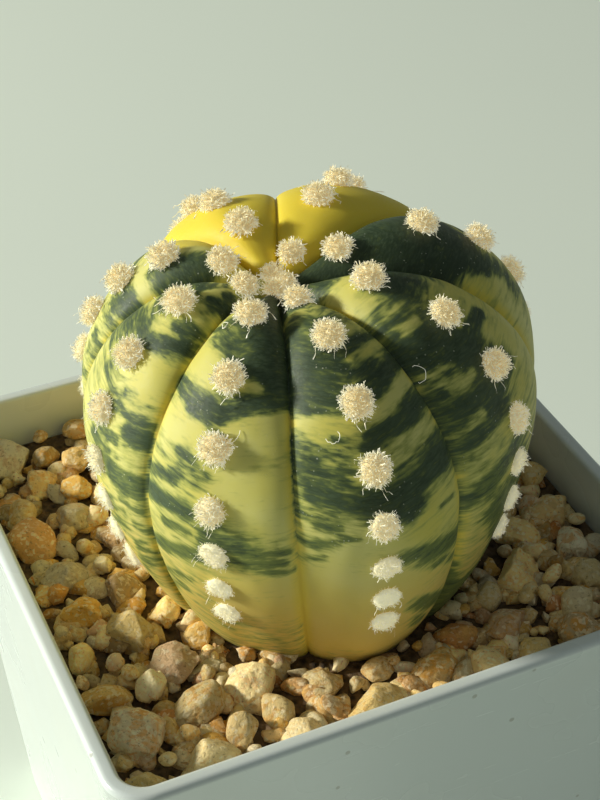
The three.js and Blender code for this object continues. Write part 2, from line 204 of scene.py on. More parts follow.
class Plan:
    """A node tree being drawn up, for a material or for a shape."""

    def __init__(self, tree):
        self.tree = tree

    def node(self, kind, settings=None, sockets=None, output=0):
        """Adds a node: its type, its settings, and the values or links of its sockets."""
        made = self.tree.nodes.new(kind)
        for name, value in (settings or {}).items():
            if name == "stops":
                ramp = made.color_ramp.elements
                while len(ramp) < len(value):
                    ramp.new(1.0)
                for element, (position, colour) in zip(ramp, value):
                    element.position = position
                    element.color = colour
            else:
                setattr(made, name, value)
        for key, value in (sockets or {}).items():
            socket = self.find(made.inputs, key)
            if isinstance(value, Signal):
                self.tree.links.new(value.socket, socket)
            else:
                socket.default_value = value
        return Signal(self, self.find(made.outputs, output))

    @staticmethod
    def find(sockets, key):
        if isinstance(key, int):
            return sockets[key]
        return next(s for s in sockets if s.enabled and key in (s.name, s.identifier))

    def maths(self, operation, *values):
        return self.node("ShaderNodeMath", {"operation": operation}, dict(enumerate(values)))

    def scaled(self, vector, share):
        return self.node("ShaderNodeVectorMath", {"operation": "SCALE"}, {0: vector, "Scale": share})

    def noted(self, name, kind="FLOAT"):
        settings = {"data_type": kind}
        return self.node("GeometryNodeInputNamedAttribute", settings, {"Name": name}, "Attribute")

    def noting(self, geometry, name, value, kind="FLOAT"):
        settings = {"data_type": kind, "domain": "POINT"}
        sockets = {"Geometry": geometry, "Name": name, "Value": value}
        return self.node("GeometryNodeStoreNamedAttribute", settings, sockets)

    def drawn(self, low, high, seed):
        settings = {"data_type": "FLOAT_VECTOR"} if isinstance(low, tuple) else None
        return self.node(
            "FunctionNodeRandomValue", settings, {"Min": low, "Max": high, "Seed": seed}, "Value"
        )

    def moved(self, geometry, offset):
        return self.node("GeometryNodeSetPosition", None, {"Geometry": geometry, "Offset": offset})

    def put(self, geometry, position):
        return self.node("GeometryNodeSetPosition", None, {"Geometry": geometry, "Position": position})

    def blurred(self, field, rounds):
        sockets = {"Value": field, "Iterations": rounds}
        return self.node("GeometryNodeBlurAttribute", {"data_type": "FLOAT_VECTOR"}, sockets, "Value")

    def repeated(self, points, thing, rotation, scale):
        sockets = {"Points": points, "Instance": thing, "Rotation": rotation, "Scale": scale}
        return self.node("GeometryNodeInstanceOnPoints", None, sockets)

    def attribute(self, name, output="Fac"):
        return self.node("ShaderNodeAttribute", {"attribute_name": name}, None, output)

    def bump(self, height, strength, distance):
        sockets = {"Strength": strength, "Distance": distance, "Height": height}
        return self.node("ShaderNodeBump", None, sockets)

    def vectors(self, operation, *values, output=0):
        settings = {"operation": operation}
        return self.node("ShaderNodeVectorMath", settings, dict(enumerate(values)), output)

    def joined(self, x, y, z):
        return self.node("ShaderNodeCombineXYZ", sockets={"X": x, "Y": y, "Z": z})

    def split(self, vector):
        return [self.node("ShaderNodeSeparateXYZ", sockets={"Vector": vector}, output=i) for i in range(3)]

    def blend(self, factor, a, b):
        settings = {"data_type": "RGBA", "clamp_factor": True}
        return self.node("ShaderNodeMix", settings, {"Factor": factor, "A": a, "B": b}, "Result")

    def step(self, value, low, high, out_low=0.0, out_high=1.0):
        """A smooth step from out_low to out_high as the value goes from low to high."""
        sockets = {
            "Value": value,
            "From Min": low,
            "From Max": high,
            "To Min": out_low,
            "To Max": out_high,
        }
        return self.node("ShaderNodeMapRange", {"interpolation_type": "SMOOTHSTEP"}, sockets, "Result")

    def noise(self, vector, scale, detail=3.0, roughness=0.55, distortion=0.0, output="Fac"):
        sockets = {
            "Vector": vector,
            "Scale": scale,
            "Detail": detail,
            "Roughness": roughness,
            "Distortion": distortion,
        }
        return self.node("ShaderNodeTexNoise", None, sockets, output)


def material_plan(name):
    """A new material's plan and its surface shader."""
    material = bpy.data.materials.new(name)
    material.use_nodes = True
    surface = material.node_tree.nodes["Principled BSDF"]
    return material, Plan(material.node_tree), surface


def feed(plan, surface, **sockets):
    """Links or sets the sockets of a surface shader, named with _ for a space."""
    for name, value in sockets.items():
        socket = surface.inputs[name.replace("_", " ")]
        if isinstance(value, Signal):
            plan.tree.links.new(value.socket, socket)
        else:
            socket.default_value = value


def plastic():
    material, plan, surface = material_plan("pot_plastic")
    place = plan.node("ShaderNodeTexCoord", output="Object")
    streaks = plan.node("ShaderNodeMapping", None, {"Vector": place, "Scale": (60, 60, 900)})
    scratches = plan.noise(streaks, 1.0, 4.0, 0.7, 0.4)
    cloudy = plan.noise(place, 45, 3.0)
    specks = plan.node("ShaderNodeTexVoronoi", None, {"Vector": place, "Scale": 190.0}, "Distance")
    speck = plan.step(specks, 0.075, 0.045)
    fine = plan.step(scratches, 0.62, 0.74)
    tone = plan.blend(plan.step(cloudy, 0.35, 0.75, 0.0, 0.5), POT_WHITE, POT_SCUFFED)
    tone = plan.blend(speck * 0.55, tone, POT_SPECK)
    height = cloudy * 0.6 + fine * 0.1 - speck * 0.4
    bump = plan.bump(height, 0.25, 0.2 * MM)
    feed(plan, surface, Base_Color=tone, Roughness=plan.step(cloudy, 0.3, 0.8, 0.24, 0.38) + fine * 0.12)
    feed(plan, surface, Normal=bump, Coat_Weight=0.25, Coat_Roughness=0.12)
    return material


def pot_profile():
    """Half side, corner radius and height of each ring, from the underside over the rim and in."""
    foot_inner = FOOT_HALF - FOOT_WIDTH
    floor_top = FOOT_RECESS + FLOOR
    rows = [
        (foot_inner, INNER_CORNER, FOOT_RECESS),
        (foot_inner, INNER_CORNER, EDGE_HOLD),
        (foot_inner, INNER_CORNER, 0),
    ]
    rows.append((foot_inner + EDGE_HOLD, INNER_CORNER + EDGE_HOLD, 0))
    for i in range(EDGE_STEPS + 1):
        turn = i / EDGE_STEPS * math.pi / 2
        out = EDGE_ROUND * (math.sin(turn) - 1)
        height = EDGE_ROUND * (1 - math.cos(turn))
        rows.append((outer_half(height) + out, OUTER_CORNER + out, height))
    rows.append((outer_half(EDGE_ROUND + EDGE_HOLD), OUTER_CORNER, EDGE_ROUND + EDGE_HOLD))
    shoulder = POT_HEIGHT - EDGE_ROUND
    rows.append((outer_half(shoulder - EDGE_HOLD), OUTER_CORNER, shoulder - EDGE_HOLD))
    for i in range(EDGE_STEPS + 1):
        turn = i / EDGE_STEPS * math.pi / 2
        out = EDGE_ROUND * (math.cos(turn) - 1)
        rows.append((RIM_HALF + out, OUTER_CORNER + out, shoulder + EDGE_ROUND * math.sin(turn)))
    inner = inner_half(POT_HEIGHT)
    for i in range(EDGE_STEPS + 1):
        turn = i / EDGE_STEPS * math.pi / 2
        out = INNER_ROUND * (1 - math.sin(turn))
        drop = INNER_ROUND * (1 - math.cos(turn))
        rows.append((inner + out, INNER_CORNER + out, POT_HEIGHT - drop))
    rows.append((inner_half(shoulder - EDGE_HOLD), INNER_CORNER, shoulder - EDGE_HOLD))
    rows.append((inner_half(floor_top + FLOOR_ROUND), INNER_CORNER, floor_top + FLOOR_ROUND))
    rows.append((inner_half(floor_top) - FLOOR_ROUND, INNER_CORNER - FLOOR_ROUND, floor_top))
    return rows


def cutter(name, corners, faces):
    mesh = bpy.data.meshes.new(name)
    mesh.from_pydata(corners, [], faces)
    return placed(name, mesh)


def box_cutter(name, half_x, half_y, half_z):
    corners = [(x * half_x, y * half_y, z * half_z) for x in (-1, 1) for y in (-1, 1) for z in (-1, 1)]
    faces = [(0, 1, 3, 2), (4, 6, 7, 5), (0, 4, 5, 1), (2, 3, 7, 6), (0, 2, 6, 4), (1, 5, 7, 3)]
    return cutter(name, corners, faces)


def drill(name, x, y):
    angles = [2 * math.pi * i / DRAIN_SIDES for i in range(DRAIN_SIDES)]
    rings = []
    for z in (-CUT_ROOM, 2 * (FOOT_RECESS + FLOOR)):
        rings.append([(x + DRAIN_RADIUS * math.cos(a), y + DRAIN_RADIUS * math.sin(a), z) for a in angles])
    return placed(name, lofted(name, rings))


pot = placed("pot_body", lofted("pot_body", [square_ring(*row) for row in pot_profile()]), plastic())
cutters = [
    box_cutter("notch_x", NOTCH_WIDTH / 2, RIM_HALF * 2, NOTCH_HEIGHT),
    box_cutter("notch_y", RIM_HALF * 2, NOTCH_WIDTH / 2, NOTCH_HEIGHT),
    drill("drain_middle", 0, 0),
]
for x in (-DRAIN_SPREAD, DRAIN_SPREAD):
    for y in (-DRAIN_SPREAD, DRAIN_SPREAD):
        cutters.append(drill("drain", x, y))
for tool in cutters:
    cut = pot.modifiers.new(tool.name, "BOOLEAN")
    cut.operation = "DIFFERENCE"
    cut.solver = "EXACT"
    cut.object = tool
flattened(pot)
for tool in cutters:
    bpy.data.objects.remove(tool)
for face in pot.data.polygons:
    face.use_smooth = True
pot.data.set_sharp_from_angle(angle=SHARPEST_SMOOTH)
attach(pot, "root")
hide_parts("pot")

# The potting mix
# A dark crumbly blend of bark, coir and grit that fills the pot. The stones hide it, so that it
# shows only through the drain holes, and its packed form stays as it is.
MIX_DARK = (0.022, 0.014, 0.009, 1)
MIX_BROWN = (0.13, 0.075, 0.04, 1)
MIX_GRIT = (0.42, 0.38, 0.32, 1)


def crumbs():
    material, plan, surface = material_plan("mix_crumbs")
    place = plan.node("ShaderNodeTexCoord", output="Object")
    lumps = plan.node("ShaderNodeTexVoronoi", None, {"Vector": place, "Scale": 700.0}, "Distance")
    cells = plan.node("ShaderNodeTexVoronoi", None, {"Vector": place, "Scale": 700.0}, "Color")
    shade = plan.node("ShaderNodeSeparateColor", None, {"Color": cells}, 0)
    fibre = plan.noise(place, 900, 5.0, 0.7)
    tone = plan.blend(shade * fibre * 1.6, MIX_DARK, MIX_BROWN)
    tone = plan.blend(plan.step(shade, 0.9, 0.94), tone, MIX_GRIT)
    bump = plan.bump(fibre - lumps, 0.9, 0.6 * MM)
    feed(plan, surface, Base_Color=tone, Roughness=0.95, Normal=bump)
    return material


potting_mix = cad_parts["potting_mix"]
potting_mix.data.materials.clear()
potting_mix.data.materials.append(crumbs())

# The plant's flesh
# One grown ball of eight puffed ribs with sharp furrows between them, of firm, waxy, watery
# flesh. Its skin is yellow where it lacks the green, and brushed with dark green streaks.
WIDEST = 16.9 * MM
FRONT_FURROW = -113.06
RIB_MEASURES = ("name", "furrow", "cleft", "crest", "bulge", "first", "stretch")
RIBS = [dict(zip(RIB_MEASURES, row)) for row in (
    ("front_right", -0.9, 1, 17.7, 0.086, 5.5, 0.98),
    ("right", 40.1, 1, 64.7, 0.002, 0.6, 1.11),
    ("back_right", 89.8, 1, 114.5, 0.105, 6.8, 1.08),
    ("back", 135.1, 1, 162.8, 0.11, 4.4, 0.9),
    ("back_left", 184.7, 0.6, 210.8, 0.025, 1.5, 0.9),
    ("left_back", 228.7, 1, 258.0, -0.047, 7.6, 0.93),
    ("left", 272.6, 1, 297.8, -0.06, 5.0, 1.09),
    ("front_left", 317.9, 1, 339.5, -0.005, 1.6, 1.05),
)]
CREST_RADIUS = 27.5 * MM
CREST_HEIGHT = 20.85 * MM
RADIUS_POWER = 0.873
FLANK_TAPER = 0.164
TAPER_DEPTH = 20 * MM
FLANK_END = -30.5 * MM
COLLAR_RADIUS = 5 * MM
COLLAR_DEPTH = -36 * MM
ROOT_RADIUS = 1.8 * MM
ROOT_END = -50 * MM
HOLLOW_DEPTH = 4.8 * MM
HOLLOW_RADIUS = 7.9 * MM
DRIFT = Vector((-1.4, -0.2, 0)) * MM
DRIFT_REACH = 11.3 * MM
LEAN_X = math.radians(1.6)
LEAN_Y = math.radians(-2.96)
FURROW_DEPTH = 0.9 * MM
SHOULDER_DEPTH = 1.3 * MM
SHOULDER_POWER = 1.5
FURROW_START = 3.5 * MM
FURROW_SHARPNESS = 2.4
CREASE_DEPTH = 0.55 * MM
CREASE_SHARPNESS = 16.0
FURROW_FADE_TOP = -24 * MM
NUDGE = 1e-4
RIB_STEPS = 52
FLESH_ROWS = [("crown", 84), ("flank", 58), ("base", 8), ("root", 5)]
YELLOW = (0.63, 0.57, 0.12, 1)
PALE_YELLOW = (0.69, 0.66, 0.24, 1)
GOLDEN = (0.80, 0.62, 0.055, 1)
AMBER = (0.72, 0.52, 0.13, 1)
GREEN = (0.027, 0.048, 0.020, 1)
DUSTY_GREEN = (0.075, 0.11, 0.055, 1)
OLIVE = (0.16, 0.20, 0.055, 1)
TINTED = (0.38, 0.40, 0.10, 1)
FLECK = (0.75, 0.76, 0.6, 1)
FLESH_UNEVENNESS = 0.5 * MM
# How many mm of crest line the skin's map holds from 0 to 1.
SKIN_LENGTH = 60
RIB_GREEN = [0.12, 0.8, 1.0, -0.5, -0.5, 0.3, 0.28, 0.26]
# Brush marks, rib by rib: start and end as (share across the rib, mm from the crown), width in
# mm, and how green the mark is, from yellow at 0 to dark green at 1.
STROKES = [
    [
        (-1, 24, 1, 24, 25, 0.5), (-0.9, 4, -0.5, 7, 3.5, 0.9), (-1, 8.3, 0, 8.8, 1.4, 0.3),
        (-1, 13, -0.3, 14, 7.5, 0.8), (-1, 18.3, -0.1, 18.3, 7, 0.92),
        (-0.95, 21, -0.25, 20.7, 3.6, 0.86), (0.2, 9.5, 0.9, 8.5, 2, 0.55),
        (0.1, 12, 0.9, 11, 1.6, 0.6), (0.3, 13.7, 0.9, 13, 1.4, 0.25), (0.1, 15.5, 0.9, 15, 1.4, 0.85),
        (0.2, 17.2, 0.9, 16.3, 1.2, 0.15), (0, 19, 0.3, 18, 2, 0.75), (0.3, 21, 1, 18.4, 2, 0.88),
        (-1, 23.6, -0.2, 24, 2.6, 0.1), (0.2, 23.2, 0.95, 21.3, 1.6, 0.05),
        (0.05, 25.9, 1, 23.8, 2.2, 0.95),
        (-0.4, 25, -0.15, 25, 0.8, 0.65), (-1, 26.5, -0.6, 28.5, 4.5, 0.78),
        (-0.65, 26, -0.25, 26.3, 0.9, 0.65),
        (-0.6, 27.6, -0.2, 27.5, 0.7, 0.6), (-1, 30, -0.5, 30.5, 2.2, 0.66), (0.2, 27.5, 0.9, 27, 1.8, 0.3),
        (0.3, 29.5, 0.95, 28.5, 1.1, 0.7), (-0.9, 38, -0.2, 38, 5, 0.05),
        (0.2, 37, 0.95, 36.5, 4.5, 0.08), (-0.7, 31, 0, 32.5, 2.1, 0.95), (0, 33, 0.3, 34, 3.2, 1),
        (0.2, 32, 1, 30.5, 2.8, 0.98), (-0.75, 34.7, -0.5, 34.7, 1, 0.75), (-0.5, 36, -0.3, 36, 0.8, 0.6),
        (-0.95, 36.5, -0.6, 37, 1.7, 0.58), (-1, 39.5, -0.7, 39, 1, 0.56), (0.65, 36, 0.85, 36, 0.7, 0.55),
        (0.2, 40.5, 1, 43.5, 2.5, 0.9), (0.3, 42.5, 0.9, 46.5, 1.3, 0.58), (0.3, 50, 1, 56, 2.6, 0.8),
        (0.2, 53, 0.6, 57, 1.8, 0.7), (-0.9, 46, -0.1, 46, 9, -0.1), (-0.9, 54, -0.1, 54, 8, -0.1),
    ],
    [
        (-0.5, 4, 0.3, 6, 2.8, 0.9), (-0.9, 9.3, 0.1, 10, 4.6, -0.05), (-0.5, 12.8, 0.1, 13.5, 4, 0.08),
        (-0.95, 13.3, -0.5, 13.8, 1.4, 0.66), (-0.9, 15.6, -0.3, 16.6, 1.9, 0.72),
        (-0.7, 17.2, -0.4, 17.4, 1, 0.3),
        (0.2, 13, 0.95, 14, 5.5, 1), (-0.9, 19.8, 0, 21.5, 3.4, 0.97), (-0.3, 23, -0.1, 25, 3, 1),
        (-0.9, 23.2, -0.6, 24, 2.4, 0.5), (-0.7, 25.6, -0.3, 26, 1, 0.36), (0.55, 20, 0.8, 36, 6.5, 0.14),
        (0.1, 21.5, 0.5, 20.8, 1.4, 0.3), (0.1, 23.2, 0.5, 23, 1.7, 0.92),
        (-0.9, 27.5, -0.3, 28.5, 2.6, 0.86),
        (-0.3, 30.5, 0.15, 30, 3.6, 0.95), (-0.9, 30, -0.5, 30, 1.2, 0.42), (-0.9, 32, -0.5, 32, 1.7, 0.85),
        (-0.9, 35, -0.3, 35, 3.6, 0.26), (-0.8, 38.5, -0.2, 38.5, 2.5, 0.8), (-0.2, 38.5, 0, 38.5, 2, 0.95),
        (-0.9, 41.6, -0.2, 41, 2.4, 0.36), (-0.5, 44, 0, 46, 3, 0.8), (-0.9, 45, -0.6, 52, 5, 0.2),
        (-0.3, 48, 0.1, 50, 3, 0.72), (0.3, 34, 0.8, 48, 6.5, 0.25),
    ],
    [
        (0, 7, 0.6, 7.5, 1.2, 0.4), (-0.95, 22, -0.75, 26, 3, 0.2), (-0.9, 28, -0.7, 40, 7, 0.15),
        (0.1, 28, 0.7, 29, 8, 0.25), (-0.2, 38, 0.8, 40, 12, 0.15), (0.2, 22, 0.9, 23, 1.5, 0.4),
        (-0.3, 33, 0.5, 33, 1.6, 0.8), (0.1, 44, 0.8, 43, 1.4, 0.75),
    ],
    [],
    [],
    [
        (-0.9, 6, 0.6, 7, 3.4, -0.3), (-0.9, 12, -0.4, 15, 7, -0.3), (0.3, 11.6, 1, 10.6, 5.5, 0.95),
        (0, 14.5, 0.8, 14, 1.8, 0.95), (0.5, 16.5, 1, 15.5, 2.7, 0.85), (0.2, 17.7, 0.9, 17, 1.3, 0.62),
        (0, 20, 1, 18.7, 1.8, 0.02), (0.2, 21.3, 0.95, 20.8, 1.6, 0.78), (0.6, 22.6, 1, 22.3, 2.6, 0.88),
        (0.2, 24, 0.8, 23.8, 1.4, 0.7), (0.3, 26, 0.9, 25.5, 1.2, 0.6), (0.6, 29, 1, 29.5, 1.7, 0.62),
        (0.6, 31, 1, 31, 1.2, 0.6), (0.6, 34.8, 0.85, 34, 1.1, 0.7), (-0.6, 22, -0.1, 22, 1.6, 0.6),
        (-0.7, 30, -0.2, 30.5, 1.2, 0.6), (-0.3, 38, 0.3, 38, 1.4, 0.7), (-0.2, 44, 0.6, 44, 1.6, 0.7),
    ],
    [
        (-0.4, 8, 0, 8.5, 1.5, 0.6), (-0.9, 11, -0.1, 10.6, 2.7, 0.9), (0.1, 11, 0.4, 8, 1.2, 0),
        (0.6, 11, 1, 8.2, 2, 0.9), (0.5, 8.5, 0.8, 7.5, 1.4, 0.75), (0.4, 16.5, 0.9, 15.2, 1.6, 0.82),
        (0.1, 20.5, 1, 17.3, 2, 0.9), (-0.25, 19.5, 0, 21, 2.1, 0.85), (-0.9, 15.5, -0.3, 16.5, 2.1, 0.78),
        (-0.9, 21, -0.5, 21, 4.2, 0.8), (-0.9, 24, -0.6, 24, 2.6, 0.7), (0.3, 26.5, 0.5, 25.7, 0.8, 0.58),
        (0.2, 23.5, 0.95, 23.2, 3.6, 0), (-0.3, 26.5, 0, 28, 1.8, 0.7), (0.05, 29.5, 0.3, 28.5, 1.2, 0.65),
        (0.4, 28.7, 0.95, 27.8, 0.8, 0.7), (0.65, 30.2, 1, 29.8, 2.9, 0.92), (0, 32.7, 0.4, 32.2, 1.5, 0.7),
        (-0.1, 35, 0.2, 34.5, 2.1, 0.66), (0.1, 35.8, 0.9, 35.5, 1.1, 0.7),
        (0.4, 37.2, 0.95, 36.6, 2.9, 0.88),
        (0.5, 40, 0.9, 40, 1, 0.62), (0.1, 43, 0.5, 42, 1.7, 0.6), (0.75, 43, 1, 42.7, 1.4, 0.62),
        (0, 47, 0.5, 45, 2.1, 0.6), (0.6, 48, 0.8, 46, 1.6, 0.56), (0.5, 52, 0.9, 48, 1.8, 0.58),
    ],
    [
        (0.5, 4, 0.9, 9, 5, 1), (0.2, 13.6, 1, 13, 6, 0.95), (0.15, 17.6, 1, 17.5, 4.5, 1),
        (0.35, 20.6, 1, 20, 2.6, 0.9), (-0.5, 14, -0.1, 15.5, 3.2, 0.7), (-0.9, 18, -0.35, 19, 3, -0.05),
        (0.15, 20, 0.45, 19.9, 1.6, 0.2), (-0.95, 21.3, -0.3, 23.4, 1.9, 0.85),
        (-0.35, 23.5, 0.2, 23.6, 3.2, 0.93),
        (0.1, 23, 1, 19.8, 2.1, 0.9), (0, 25.5, 0.3, 25, 1.6, 0.8), (0.3, 25.5, 0.95, 24, 3.4, 0),
        (-0.9, 26, -0.4, 26.5, 3, 0), (-0.4, 29, -0.1, 30.7, 2.4, 0.72), (0.15, 29.5, 0.4, 29.7, 1.6, 0.85),
        (-1, 32.6, -0.5, 32.1, 1.3, 0.85), (-0.6, 31.2, -0.4, 31.2, 0.7, 0.6),
        (-1, 35.5, -0.3, 35.2, 2.1, 1),
        (0.2, 34.5, 0.35, 35, 1.4, 0.8), (0, 37, 0.45, 37.5, 3.2, 0.84), (-0.1, 38.5, 0.3, 38.8, 1.8, 0.9),
        (-0.65, 38.3, -0.3, 38, 1, 0.72), (0.5, 37.2, 0.75, 37.2, 0.8, 0.68),
        (0.55, 38.9, 0.9, 38.5, 1, 0.75),
        (0.5, 39.8, 0.85, 40, 1.1, 0.78), (0.5, 41.5, 0.95, 41.4, 1, 0.85), (-1, 43.5, -0.2, 41, 1.9, 0.88),
        (0.05, 40.3, 0.35, 40.6, 2, 0.82), (-1, 49, -0.4, 46.5, 1.2, 0.56),
        (-1, 52.5, -0.6, 49.5, 1.7, 0.64),
        (0.3, 32, 0.95, 32, 7, 0), (0.3, 47, 0.95, 47, 8, 0),
    ],
]


def smooth(t):
    u = np.clip(t, 0, 1)
    return u * u * (3 - 2 * u)


def crest(stage, t):
    """The crest line's distance from the plant's axis and height over its widest ring."""
    if stage == "crown":
        rho = CREST_RADIUS * np.sin(t * math.pi / 2) ** RADIUS_POWER
        hollow = HOLLOW_DEPTH * np.exp(-((rho / HOLLOW_RADIUS) ** 2))
        return rho, CREST_HEIGHT * np.cos(t * math.pi / 2) - hollow
    edge = CREST_RADIUS * (1 - FLANK_TAPER * (FLANK_END / TAPER_DEPTH) ** 2)
    if stage == "flank":
        z = t * FLANK_END
        return CREST_RADIUS * (1 - FLANK_TAPER * (z / TAPER_DEPTH) ** 2), z
    if stage == "base":
        turn = t * math.pi / 2
        return mix(COLLAR_RADIUS, edge, np.cos(turn)), mix(FLANK_END, COLLAR_DEPTH, np.sin(turn))
    return mix(COLLAR_RADIUS, ROOT_RADIUS, t), mix(COLLAR_DEPTH, ROOT_END, t)


def crest_rows(stages):
    """Rows down the crest line: rho, z, outward normal, furrow depth, fade and length so far."""
    rows = {name: [] for name in ("rho", "z", "nr", "nz", "furrow", "fade")}
    for stage, count in stages:
        t = np.arange(1, count + 1) / count
        rho, z = crest(stage, t)
        before = crest(stage, t - NUDGE)
        after = crest(stage, t + NUDGE)
        dr, dz = after[0] - before[0], after[1] - before[1]
        length = np.hypot(dr, dz)
        shoulder = np.maximum(np.cos(t * math.pi / 2), 0) ** SHOULDER_POWER if stage == "crown" else 0 * t
        fade = smooth((z - FLANK_END) / (FURROW_FADE_TOP - FLANK_END))
        furrow = (FURROW_DEPTH + SHOULDER_DEPTH * shoulder) * (1 - np.exp(-rho / FURROW_START)) * fade
        for name, values in zip(rows, (rho, z, -dz / length, dr / length, furrow, fade)):
            rows[name].append(values)
    rows = {name: np.concatenate(values) for name, values in rows.items()}
    steps = np.hypot(np.diff(rows["rho"]), np.diff(rows["z"]))
    rows["along"] = rows["rho"][0] + np.concatenate([[0], np.cumsum(steps)])
    return rows


def rib_place(k, t):
    """Angle, bulge and share of the furrow, at t across rib k from furrow (-1) over crest to furrow (1)."""
    rib = RIBS[k]
    end = RIBS[k + 1]["furrow"] if k + 1 < len(RIBS) else RIBS[0]["furrow"] + 360
    reach = np.where(t > 0, end - rib["crest"], rib["crest"] - rib["furrow"])
    following = RIBS[(k + 1) % len(RIBS)]
    neighbour = np.where(t > 0, following["bulge"], RIBS[k - 1]["bulge"])
    bulge = mix(rib["bulge"], (rib["bulge"] + neighbour) / 2, smooth(np.abs(t)))
    cleft = np.where(t > 0, following["cleft"], rib["cleft"])
    return np.radians(FRONT_FURROW + rib["crest"] + reach * t), bulge, cleft


def flesh_point(row, k, t, lift=0.0):
    """A point of the plant's skin, raised off it by lift."""
    angle, bulge, cleft = rib_place(k, np.asarray(t, float))
    inward = lift - row["furrow"] * cleft * np.abs(t) ** FURROW_SHARPNESS
    r = row["rho"] * (1 + bulge * row["fade"]) + row["nr"] * inward
    z = row["z"] + row["nz"] * inward
    x, y = r * np.cos(angle), r * np.sin(angle)
    x, z_leaned = x * math.cos(LEAN_Y) + z * math.sin(LEAN_Y), z * math.cos(LEAN_Y) - x * math.sin(LEAN_Y)
    drift = np.where(z > 0, np.exp(-((r / DRIFT_REACH) ** 2)), 0)
    y_leaned = y * math.cos(LEAN_X) - z_leaned * math.sin(LEAN_X)
    z_leaned = y * math.sin(LEAN_X) + z_leaned * math.cos(LEAN_X)
    return np.array([x + DRIFT.x * drift, y_leaned + DRIFT.y * drift, z_leaned + POT_HEIGHT + WIDEST])


def row_at(rows, index):
    return {name: values[index] for name, values in rows.items()}


def with_attribute(mesh, name, kind, values, domain="POINT"):
    layer = mesh.attributes.new(name, kind, domain)
    layer.data.foreach_set("value" if kind == "FLOAT" else "vector", np.asarray(values, np.float32).ravel())


def grown(name, mesh, tree, values):
    """A piece whose plain mesh is what a shape tree makes of a starting mesh."""
    thing = placed(name, mesh)
    modifier = thing.modifiers.new("growth", "NODES")
    modifier.node_group = tree
    for item in tree.interface.items_tree:
        if item.item_type == "SOCKET" and item.in_out == "INPUT" and item.name in values:
            modifier[item.identifier] = values[item.name]
    return flattened(thing)


def shape_plan(name, inputs):
    """A new shape tree with named inputs, its plan, and the signal of each input by name."""
    tree = bpy.data.node_groups.new(name, "GeometryNodeTree")
    tree.interface.new_socket("Geometry", in_out="INPUT", socket_type="NodeSocketGeometry")
    tree.interface.new_socket("Geometry", in_out="OUTPUT", socket_type="NodeSocketGeometry")
    for label, kind in inputs.items():
        tree.interface.new_socket(label, in_out="INPUT", socket_type="NodeSocket" + kind)
    entry = tree.nodes.new("NodeGroupInput")
    plan = Plan(tree)
    signals = {socket.name: Signal(plan, socket) for socket in entry.outputs if socket.name}
    return tree, plan, signals


def close_shape(plan, geometry, given):
    # Shades the shape smooth, gives it its material and hands it out of the tree.
    shaded = plan.node("GeometryNodeSetShadeSmooth", None, {0: geometry})
    whole = plan.node("GeometryNodeRealizeInstances", None, {"Geometry": shaded})
    dressed = {"Geometry": whole, "Material": given["Material"]}
    dressed = plan.node("GeometryNodeSetMaterial", None, dressed)
    leave = plan.tree.nodes.new("NodeGroupOutput")
    plan.tree.links.new(dressed.socket, leave.inputs[0])


def green_over(k, t, along, half_width):
    """How green the skin is at places on rib k, before the fine streaks are laid over it."""
    green = np.full(t.shape, RIB_GREEN[k])
    x = t * half_width
    for t0, s0, t1, s1, width, amount in STROKES[k]:
        ax, bx = t0 * half_width, t1 * half_width
        dx, dy = bx - ax, s1 - s0
        share = np.clip(((x - ax) * dx + (along - s0) * dy) / (dx * dx + dy * dy), 0, 1)
        off = np.hypot(x - ax - share * dx, along - s0 - share * dy)
        cover = np.exp(-((off / (0.62 * width)) ** 4))
        green = mix(green, amount, cover)
    return green


